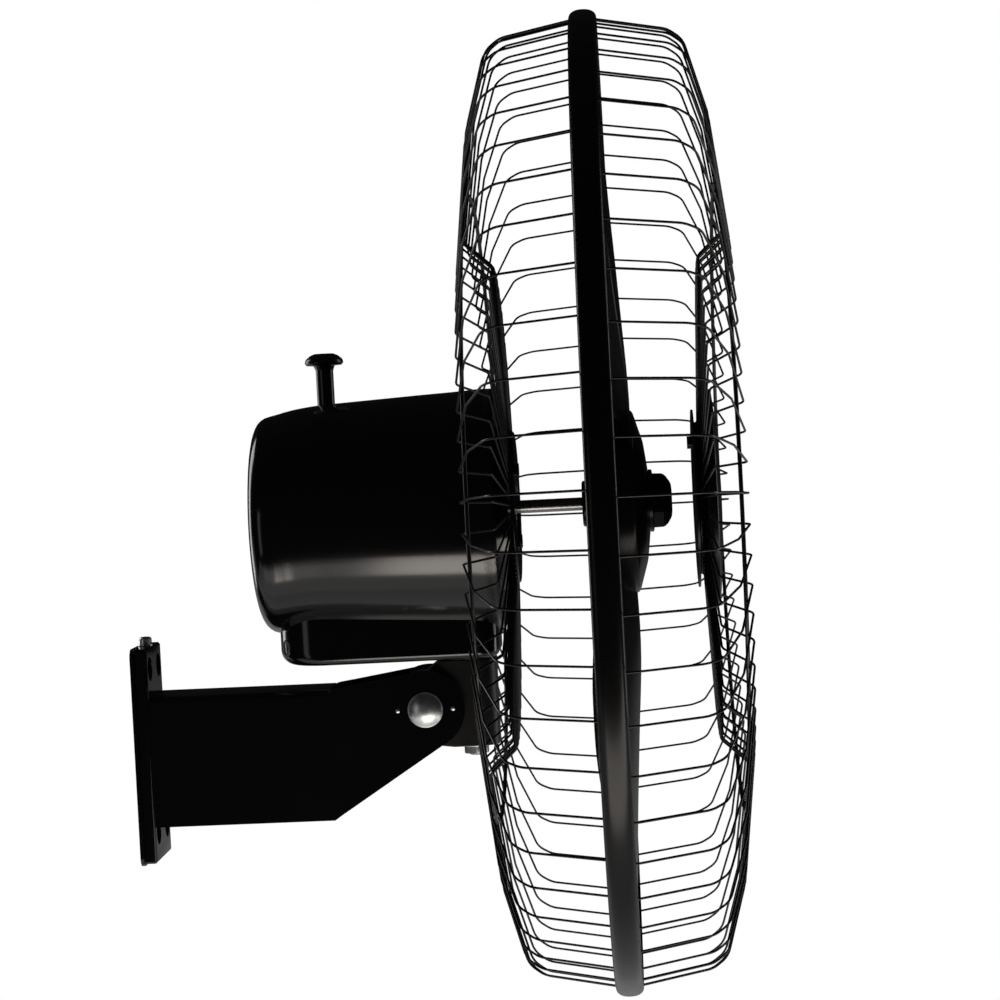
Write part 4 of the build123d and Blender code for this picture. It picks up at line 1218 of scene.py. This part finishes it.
@dataclass
class Badge:
    """Round badge without a mark, a shallow dome with a small edge."""

    back_x: float = 0.3525
    radius: float = 0.066
    lip: float = 0.0060
    dome: float = 0.0040
    wall: float = 0.0016
    edge: float = 0.0004
    face_share: float = 0.985
    inner_share: float = 0.97
    fall: float = 0.92
    face_steps: int = 16

    def build(self) -> None:
        """The badge as a closed turned shell: at share s its face stands lip + dome (1 - fall s^2) high."""
        share = np.linspace(0, 1, self.face_steps)
        radius = self.radius * self.face_share * share
        face = self.back_x + self.lip + self.dome * (1 - self.fall * share ** 2)
        edge = np.array([
            (self.back_x + self.lip - self.edge, self.radius), (self.back_x + self.edge, self.radius),
            (self.back_x, self.radius - self.edge), (self.back_x, self.radius - self.wall),
        ])
        outer = np.column_stack([face, radius])
        inner = np.column_stack([face[::-1] - self.wall, radius[::-1] * self.inner_share])
        profile = np.concatenate([outer, edge, inner])
        badge = turned("front_badge", profile, segments=128, angle=50)
        settle(badge, Body.HEAD, Finish.BADGE, "badge_plate")


# ------------------------------------------------------------------ fasteners


def washer_section(face: float, low: float, bore: float, radius: float, bends: tuple) -> np.ndarray:
    """Section of a flat washer with rounded edges.

    Args:
        face: Place of one face along its line.
        low: Place of the other.
        bore: Radius of its hole.
        radius: Outer radius.
        bends: Radius of each edge, round from the bore at the first face.

    Returns:
        Array (n, 2) of (place along the line, radius).
    """
    corners = np.array([(face, bore), (face, radius), (low, radius), (low, bore)])
    return rounded(corners, np.array(bends), steps=4, closed=True)


@dataclass(frozen=True)
class HexNut:
    """Hexagon nut with chamfered corners and a countersunk bore.

    With a negative height it goes the other way from its seat. Its chamfers and its sink start at
    shares of the height.
    """

    radius: float
    height: float
    bore: float = 0.005
    cut: float = 0.93
    low_chamfer: float = 0.1
    high_chamfer: float = 0.88
    sink_from: float = 0.94
    sink: float = 0.0006
    steps: int = 72

    def build(self, name: str, seat: tuple, along: Axis) -> bpy.types.Object:
        """The nut: its outline is a hexagon, cut to a circle at both faces by the usual chamfer.

        Its sections are (share of the height, radius at each angle), from the seat round to the bore.

        Args:
            name: Name of the piece.
            seat: Middle of its seat.
            along: Axis that it is screwed along.

        Returns:
            The nut.
        """
        turn = circle(self.steps)
        hexagon = self.radius * facets(turn, sides=6)
        face = np.minimum(hexagon, self.cut * self.radius)
        bore = np.full(len(turn), self.bore)
        sections = (
            (0.0, bore), (0.0, face), (self.low_chamfer, hexagon), (self.high_chamfer, hexagon),
            (1.0, face), (1.0, bore + self.sink), (self.sink_from, bore),
        )
        rings = np.zeros((len(sections), len(turn), 3))
        for ring, (rise, size) in zip(rings, sections):
            ring[:, along] = rise * self.height
            ring[:, (along + 1) % 3] = size * np.cos(turn)
            ring[:, (along + 2) % 3] = size * np.sin(turn)
        faces = grid_faces(len(sections), len(turn), True, True).tolist()
        return outward(mesh_object(name, rings + np.array(seat), faces, smooth_angle=25))


@dataclass
class TiltFasteners:
    """Carriage bolt with its washer and nut, and the small rivets beside it."""

    x: float = 0.1774
    z: float = 0.0180
    half_ear: float = 0.0225
    head_radius: float = 0.0108
    head_height: float = 0.0050
    dome_radius: float = 0.0102
    dome_power: float = 2.2
    dome_steps: int = 14
    edge_height: float = 0.0012
    edge: tuple = ((1.0, 10.6), (0.2, 10.8), (0.0, 10.4))
    shank: float = 0.0050
    end_y: float = 0.0349
    end_chamfer: tuple = (0.0011, 0.0009)
    washer_height: float = 0.0014
    washer_bore: float = 0.0052
    washer_bends: tuple = (0.0002, 0.0003, 0.0005, 0.0002)
    nut: HexNut = HexNut(radius=0.0098, height=0.008)
    rivet_spacing: float = 0.0168
    rivet_radius: float = 0.0015
    rivet_steps: int = 20
    rivet_line: tuple = ((1.0, -2.0), (1.0, 0.0), (0.86, 0.20), (0.55, 0.46), (0.18, 0.60))

    def turned_here(self, name: str, profile: np.ndarray, **options: object) -> bpy.types.Object:
        """A profile turned about the bolt's line."""
        centre = (self.x, 0, self.z)
        return turned(name, profile, segments=64, centre=centre, along=Axis.Y, **options)

    def bolt(self) -> bpy.types.Object:
        """Domed head with a thin flat edge, and a shank with a chamfered end.

        Over the flat edge the dome is (head height - edge height) (1 - s^power) high at share s. The
        edge is (height over the ear, radius) in millimetres.

        Returns:
            The bolt.
        """
        face = -self.half_ear
        share = np.linspace(0, 1, self.dome_steps)
        rise = (self.head_height - self.edge_height) * (1 - share ** self.dome_power)
        dome = np.column_stack([face - self.edge_height - rise, self.dome_radius * share])
        edge = np.array(self.edge) * (-MM, MM) + (face, 0)
        long, deep = self.end_chamfer
        shank = np.array([
            (face, self.shank), (self.end_y - long, self.shank), (self.end_y, self.shank - deep),
            (self.end_y, 0.0),
        ])
        return self.turned_here("carriage_bolt", np.concatenate([dome, edge, shank]), angle=38)

    def washer(self) -> bpy.types.Object:
        """Flat washer under the head with rounded edges.

        Returns:
            The washer.
        """
        face = -self.half_ear
        low = face - self.washer_height
        ring = washer_section(face, low, self.washer_bore, self.head_radius, self.washer_bends)
        return self.turned_here("bolt_washer", ring, closed=True)

    def rivets(self) -> bpy.types.Object:
        """Two domed rivet ends on each cheek, through rings of (share of the radius, rise in mm).

        Returns:
            All four as one piece.
        """
        turn = circle(self.rivet_steps)
        share, rise = np.array(self.rivet_line).T[:, :, None]
        size = self.rivet_radius * share
        rows, columns = len(share), len(turn)
        points = []
        faces = []
        for side in (-1, 1):
            for offset in (-self.rivet_spacing, self.rivet_spacing):
                first = len(points) * rows * columns
                faces += grid_faces(rows, columns, False, True, first).tolist()
                for end in (first, first + (rows - 1) * columns):
                    faces.append(list(range(end, end + columns)))
                points.append(np.stack(np.broadcast_arrays(
                    self.x + offset + size * np.cos(turn), side * (self.half_ear + rise * MM),
                    self.z + size * np.sin(turn),
                ), -1))
        return outward(mesh_object("cheek_rivets", np.concatenate(points), faces, smooth_angle=60))

    def build(self) -> None:
        """The fasteners at the tilt joint."""
        settle(self.bolt(), Body.BRACKET, Finish.ZINC, "tilt_bolt")
        settle(self.washer(), Body.BRACKET, Finish.ZINC, "tilt_washer")
        settle(self.rivets(), Body.BRACKET, Finish.ZINC, "ear_rivets")
        seat = (self.x, self.half_ear + self.washer_height, self.z)
        settle(self.nut.build("tilt_lock_nut", seat, Axis.Y), Body.BRACKET, Finish.ZINC, "tilt_nut")


@dataclass
class PivotEnd:
    """The upright pivot pin's lower end: threaded tip, nut and washer."""

    x: float = 0.206
    seat_z: float = -0.00605
    top_z: float = 0.0520
    pin: float = 0.0050
    thread_depth: float = 0.00035
    thread_pitch: float = 0.00125
    thread_end: float = 0.0003
    thread_steps: int = 40
    tip: float = 0.0012
    tip_chamfer: tuple = (0.0008, 0.0010)
    washer_height: float = 0.0014
    washer_bore: float = 0.0051
    washer_radius: float = 0.0092
    washer_bends: tuple = (0.0002, 0.0004, 0.0004, 0.0002)
    nut: HexNut = HexNut(radius=0.0084, height=-0.0044)

    def build(self) -> None:
        """The pin, nut and washer; the thread's radius is pin - depth (1 + cos(2 pi z / pitch)) / 2."""
        nut_z = self.seat_z - self.washer_height
        low = nut_z + self.nut.height - self.tip
        high, deep = self.tip_chamfer
        z = np.linspace(low + high, self.seat_z, self.thread_steps)
        groove = self.thread_depth * (1 + np.cos(2 * np.pi * z / self.thread_pitch)) / 2
        thread = np.column_stack([z, self.pin - groove])
        plain_z = self.seat_z + self.thread_end
        top = np.array([(plain_z, self.pin), (self.top_z, self.pin), (self.top_z, 0.0)])
        end = np.array([(low, 0.0), (low, self.pin - deep)])
        centre = (self.x, 0, 0)
        profile = np.concatenate([end, thread, top])
        pin = turned("pivot_stud", profile, segments=48, angle=60, centre=centre, along=Axis.Z)
        settle(pin, Body.HEAD, Finish.STEEL, "pivot_pin")
        nut = self.nut.build("pivot_lock_nut", (self.x, 0, nut_z), Axis.Z)
        settle(nut, Body.HEAD, Finish.ZINC, "pivot_nut")
        ring = washer_section(self.seat_z, nut_z, self.washer_bore, self.washer_radius, self.washer_bends)
        washer = turned("pivot_flat_washer", ring, segments=56, closed=True, centre=centre, along=Axis.Z)
        settle(washer, Body.HEAD, Finish.ZINC, "pivot_washer")


@dataclass
class LockScrew:
    """Zinc screw on the tray's top: its shank, a flange and a round head.

    A corner of its line is (height over the tray, radius) in millimetres, and each has a bend.
    """

    place: tuple = (0.00525, 0.0, 0.0630)
    line: tuple = (
        (-10.0, 0.0), (-10.0, 1.6), (-9.6, 2.0), (0.0, 2.0), (0.0, 4.4), (1.2, 4.4), (1.3, 4.0),
        (4.4, 4.0), (5.4, 3.1), (5.4, 0.0),
    )
    bends: tuple = (0.0, 0.2, 0.2, 0.0, 0.2, 0.2, 0.1, 0.6, 0.6, 0.0)

    def build(self) -> None:
        """Shank, flange and head in one turned profile."""
        profile = rounded(np.array(self.line) * MM, np.array(self.bends) * MM, steps=4)
        screw = turned("plate_lock_screw", profile, segments=64, angle=40, centre=self.place, along=Axis.Z)
        settle(screw, Body.BRACKET, Finish.ZINC, "lock_screw")


# ------------------------------------------------------------------ pieces taken from the frame


@dataclass
class SoftCorners:
    """A folded or cast CAD node, copied and given rounded corners.

    Its drop is a polyline over X, both in millimetres. Edges that turn more than sharp_from degrees
    stay sharp, and those that turn more than bevel_from are rounded.
    """

    name: str
    node: str
    width: float
    body: Body = Body.BRACKET
    finish: Finish = Finish.BRACKET
    drop_at: tuple = ()
    drop: tuple = ()
    sharp_from: float = 50.0
    bevel_from: float = 32.0

    def build(self, nodes: dict) -> None:
        """The copy, merged and flattened, with a Bevel modifier on its corners.

        Args:
            nodes: The CAD nodes by name.
        """
        obj = bpy.data.objects.new(self.name, nodes[self.node].data.copy())
        obj.data.name = self.name
        bpy.context.scene.collection.objects.link(obj)
        outward(obj, gap=2e-6, flat_angle=1.0)
        obj.data.shade_smooth()
        obj.data.set_sharp_from_angle(angle=math.radians(self.sharp_from))
        bevel = obj.modifiers.new("soft_corners", "BEVEL")
        bevel.width = self.width
        bevel.segments = 3
        bevel.limit_method = "ANGLE"
        bevel.angle_limit = math.radians(self.bevel_from)
        if self.drop:
            lowered(obj, self.drop_at, self.drop)
        settle(obj, self.body, self.finish, self.node)


# The CAD nodes that no piece stands for, by finish
SHOWN_NODES = {
    Finish.ZINC: ("friction_plates", "cover_posts", "cover_screws", "link_arm"),
    Finish.STEEL: ("link_anchor", "long_bolts", "crank_axle", "clutch_spindle", "knob_rod", "crank_pin"),
    Finish.SHAFT: ("motor_shaft",),
    Finish.BRONZE: ("pivot_bushes", "shaft_bearings"),
    Finish.CAST: ("rear_shield", "gearbox_body", "gearbox_lid"),
    Finish.CASE: ("front_shield",),
    Finish.SHEETS: ("stator_core", "rotor_core"),
    Finish.COPPER: ("stator_windings",),
    Finish.NYLON: ("thrust_washer", "worm_wheel", "crank_gear"),
    Finish.GREY: ("run_capacitor", "terminal_block"),
    Finish.WIRE: ("guard_clamp",),
    Finish.BADGE: ("guard_screws", "badge_clamp", "badge_screw"),
}


# ------------------------------------------------------------------ studio


def placed(right: np.ndarray, up: np.ndarray, back: np.ndarray, place: tuple) -> Matrix:
    """World matrix of a camera or lamp.

    Args:
        right: Unit vector to its right.
        up: Unit vector upwards from it.
        back: Unit vector away from what it points at.
        place: Where it stands.

    Returns:
        The matrix.
    """
    matrix = np.eye(4)
    matrix[:3] = np.column_stack([right, up, back, place])
    return Matrix(matrix.tolist())


@dataclass
class PhotoCamera:
    """The photograph's viewpoint, fitted to the guard wires. Its turns are radians."""

    place: tuple = (0.30875, -1.68340, 0.20080)
    yaw: float = -0.048
    pitch: float = 0.035
    roll: float = -0.051
    lens: float = 99.48
    sensor: float = 36.0
    sight: float = 50.0

    def build(self) -> None:
        """The camera, its right, up and backward directions from the three fitted turns."""
        cy, sy = math.cos(self.yaw), math.sin(self.yaw)
        cp, sp = math.cos(self.pitch), math.sin(self.pitch)
        cr, sr = math.cos(self.roll), math.sin(self.roll)
        right, ahead, up = (
            np.array([[cr, 0, sr], [0, 1, 0], [-sr, 0, cr]])
            @ np.array([[1, 0, 0], [0, cp, -sp], [0, sp, cp]])
            @ np.array([[cy, -sy, 0], [sy, cy, 0], [0, 0, 1]])
        )
        data = bpy.data.cameras.new("photo_camera")
        data.lens = self.lens
        data.sensor_width = self.sensor
        data.clip_end = self.sight
        camera = bpy.data.objects.new("photo_camera", data)
        bpy.context.scene.collection.objects.link(camera)
        camera.matrix_world = placed(right, up, -ahead, self.place)
        bpy.context.scene.camera = camera


@dataclass(frozen=True)
class Lamp:
    """A soft rectangular lamp. Its size is width and height, its power is in watts."""

    name: str
    place: tuple
    aim: tuple
    size: tuple
    power: float
    tint: tuple = (1.0, 1.0, 1.0)
    mirrored: bool = True
    steep_from: float = 0.95

    def build(self) -> None:
        """The lamp, pointing at its aim and upright unless it is steep.

        Only a mirrored one shows in glossy surfaces.
        """
        data = bpy.data.lights.new(self.name, "AREA")
        data.shape = "RECTANGLE"
        data.size, data.size_y = self.size
        data.energy = self.power
        data.color = self.tint
        obj = bpy.data.objects.new(self.name, data)
        bpy.context.scene.collection.objects.link(obj)
        obj.visible_glossy = self.mirrored
        back = np.subtract(self.place, self.aim)
        back /= np.linalg.norm(back)
        steep = abs(back[2]) >= self.steep_from
        side = np.cross([0.0, 1.0, 0.0] if steep else [0.0, 0.0, 1.0], back)
        side /= np.linalg.norm(side)
        obj.matrix_world = placed(side, np.cross(back, side), back, self.place)


WARM = (1.0, 0.93, 0.86)


@dataclass
class Studio:
    """Pale floor, white surroundings and soft lamps."""

    floor_z: float = -0.75
    floor_low: tuple = (-1.3, -0.85)
    floor_high: tuple = (1.9, 1.3)
    floor_seen: float = 0.9
    floor_mirrored: float = 0.25
    low_band: tuple = (-0.06, -0.22)
    far_band: tuple = (0.0, 0.25)
    fill: float = 0.25
    mirrored_far: float = 0.4
    mirrored_near: float = 0.008
    lamps: tuple = (
        Lamp("top_lamp", (0.2, 0.5, 1.9), (0.2, 0.1, 0.1), (1.2, 1.2), 5, mirrored=False),
        Lamp("low_wide", (0.25, -0.377, -0.53), (0.25, -0.02, 0.13), (1.5, 0.43), 0.4, WARM),
        Lamp("low_edge", (0.45, -0.460, -0.408), (0.45, -0.05, 0.12), (1.5, 0.235), 0.35, WARM),
        Lamp("low_middle", (0.62, -0.465, -0.405), (0.62, -0.05, 0.12), (1.16, 0.235), 4.0, WARM),
        Lamp("corner_strip", (-0.75, -0.95, 0.0), (0.12, 0.0, 0.08), (0.3, 0.9), 0.5),
        Lamp("left_strip", (-1.0, 0.7, 0.35), (0.08, 0.0, 0.14), (0.5, 1.4), 7.0),
        Lamp("right_strip", (1.7, 0.6, 0.3), (0.3, 0.0, 0.14), (0.4, 1.6), 5.0),
    )

    def background(self) -> None:
        """White for the camera; glossy surfaces mirror it dimly, and less dimly low on the far side."""
        world = bpy.data.worlds.new("studio")
        world.use_nodes = True
        bpy.context.scene.world = world
        tree = world.node_tree
        tree.nodes.clear()
        direction = add_node(tree, "TexCoord", {}).outputs["Generated"]
        split = add_node(tree, "SeparateXYZ", {0: direction}).outputs
        low = ramp(tree, split["Z"], *self.low_band)
        far = ramp(tree, split["Y"], *self.far_band)
        both = maths(tree, "MULTIPLY", low, far)
        strength = maths(tree, "MULTIPLY_ADD", both, self.mirrored_far, self.mirrored_near)
        seen = add_node(tree, "Background", {"Color": (1, 1, 1, 1), "Strength": 1.0})
        mirrored = add_node(tree, "Background", {"Strength": strength})
        lit = add_node(tree, "Background", {"Strength": self.fill})
        path = add_node(tree, "LightPath", {}).outputs
        shiny = maths(tree, "MAXIMUM", path["Is Glossy Ray"], path["Is Transmission Ray"])
        unseen = add_node(tree, "MixShader", {"Fac": shiny, 1: lit.outputs[0], 2: mirrored.outputs[0]})
        mix = add_node(tree, "MixShader", {
            "Fac": path["Is Camera Ray"], 1: unseen.outputs[0], 2: seen.outputs[0],
        })
        add_node(tree, "OutputWorld", {"Surface": mix.outputs[0]})

    def floor(self) -> None:
        """A wide pale floor, which shows the camera and glossy surfaces more white than it reflects."""
        (x0, y0), (x1, y1), z = self.floor_low, self.floor_high, self.floor_z
        corners = np.array([(x0, y0, z), (x1, y0, z), (x1, y1, z), (x0, y1, z)])
        obj = mesh_object("floor", corners, [[0, 1, 2, 3]])
        material, shader = blank_material("floor_white")
        tree = material.node_tree
        connect(tree, shader, {"Base Color": (0.85, 0.85, 0.85, 1), "Roughness": 0.9})
        path = add_node(tree, "LightPath", {}).outputs
        glossy = maths(tree, "MULTIPLY", path["Is Glossy Ray"], self.floor_mirrored)
        share = maths(tree, "MULTIPLY_ADD", path["Is Camera Ray"], self.floor_seen, glossy)
        white = add_node(tree, "Emission", {})
        mix = add_node(tree, "MixShader", {"Fac": share, 1: shader.outputs[0], 2: white.outputs[0]})
        connect(tree, tree.nodes["Material Output"], {"Surface": mix.outputs[0]})
        obj.data.materials.append(material)
        obj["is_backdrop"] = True

    def build(self) -> None:
        """Everything round the object."""
        bpy.context.scene.view_settings.view_transform = "Standard"
        self.background()
        self.floor()
        for lamp in self.lamps:
            lamp.build()


def plain(value: object) -> object:
    """Nested tuples or vectors as lists of numbers.

    Args:
        value: A number, or tuples or vectors of numbers to any depth.

    Returns:
        The same as floats and lists, which json can write.
    """
    if isinstance(value, (int, float)):
        return float(value)
    return [plain(item) for item in value]


def main() -> None:
    """Builds the fan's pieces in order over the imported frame."""
    logging.basicConfig(level=logging.INFO, format="%(message)s")
    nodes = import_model()["nodes"]
    cad_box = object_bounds()
    for part in (
        PhotoCamera(), Studio(), WireGuard(Half.REAR, first_angle=2.5),
        WireGuard(Half.FRONT, first_angle=3.3), RimBand(), MotorHousing(), GearCase(), PullKnob(),
        FanWheel(), Badge(), TiltFasteners(), PivotEnd(), LockScrew(),
    ):
        part.build()
    for copy in (
        SoftCorners("plate_sheet", "wall_plate", width=0.0006),
        SoftCorners("tray_sheet", "arm_tray", width=0.0010),
        SoftCorners(
            "arm_sheet", "support_arm", width=0.0009, drop_at=(0.0, 119.0, 165.0), drop=(3.0, 3.5, 0.0),
        ),
        SoftCorners("pivot_casting", "pivot_block", width=0.0016, body=Body.TILT, finish=Finish.BLOCK),
    ):
        copy.build(nodes)
    for finish, names in SHOWN_NODES.items():
        for name in names:
            dress(nodes[name], finish)
    {"cad": plain(cad_box), "visual": plain(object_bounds())}


if __name__ == "__main__":
    main()
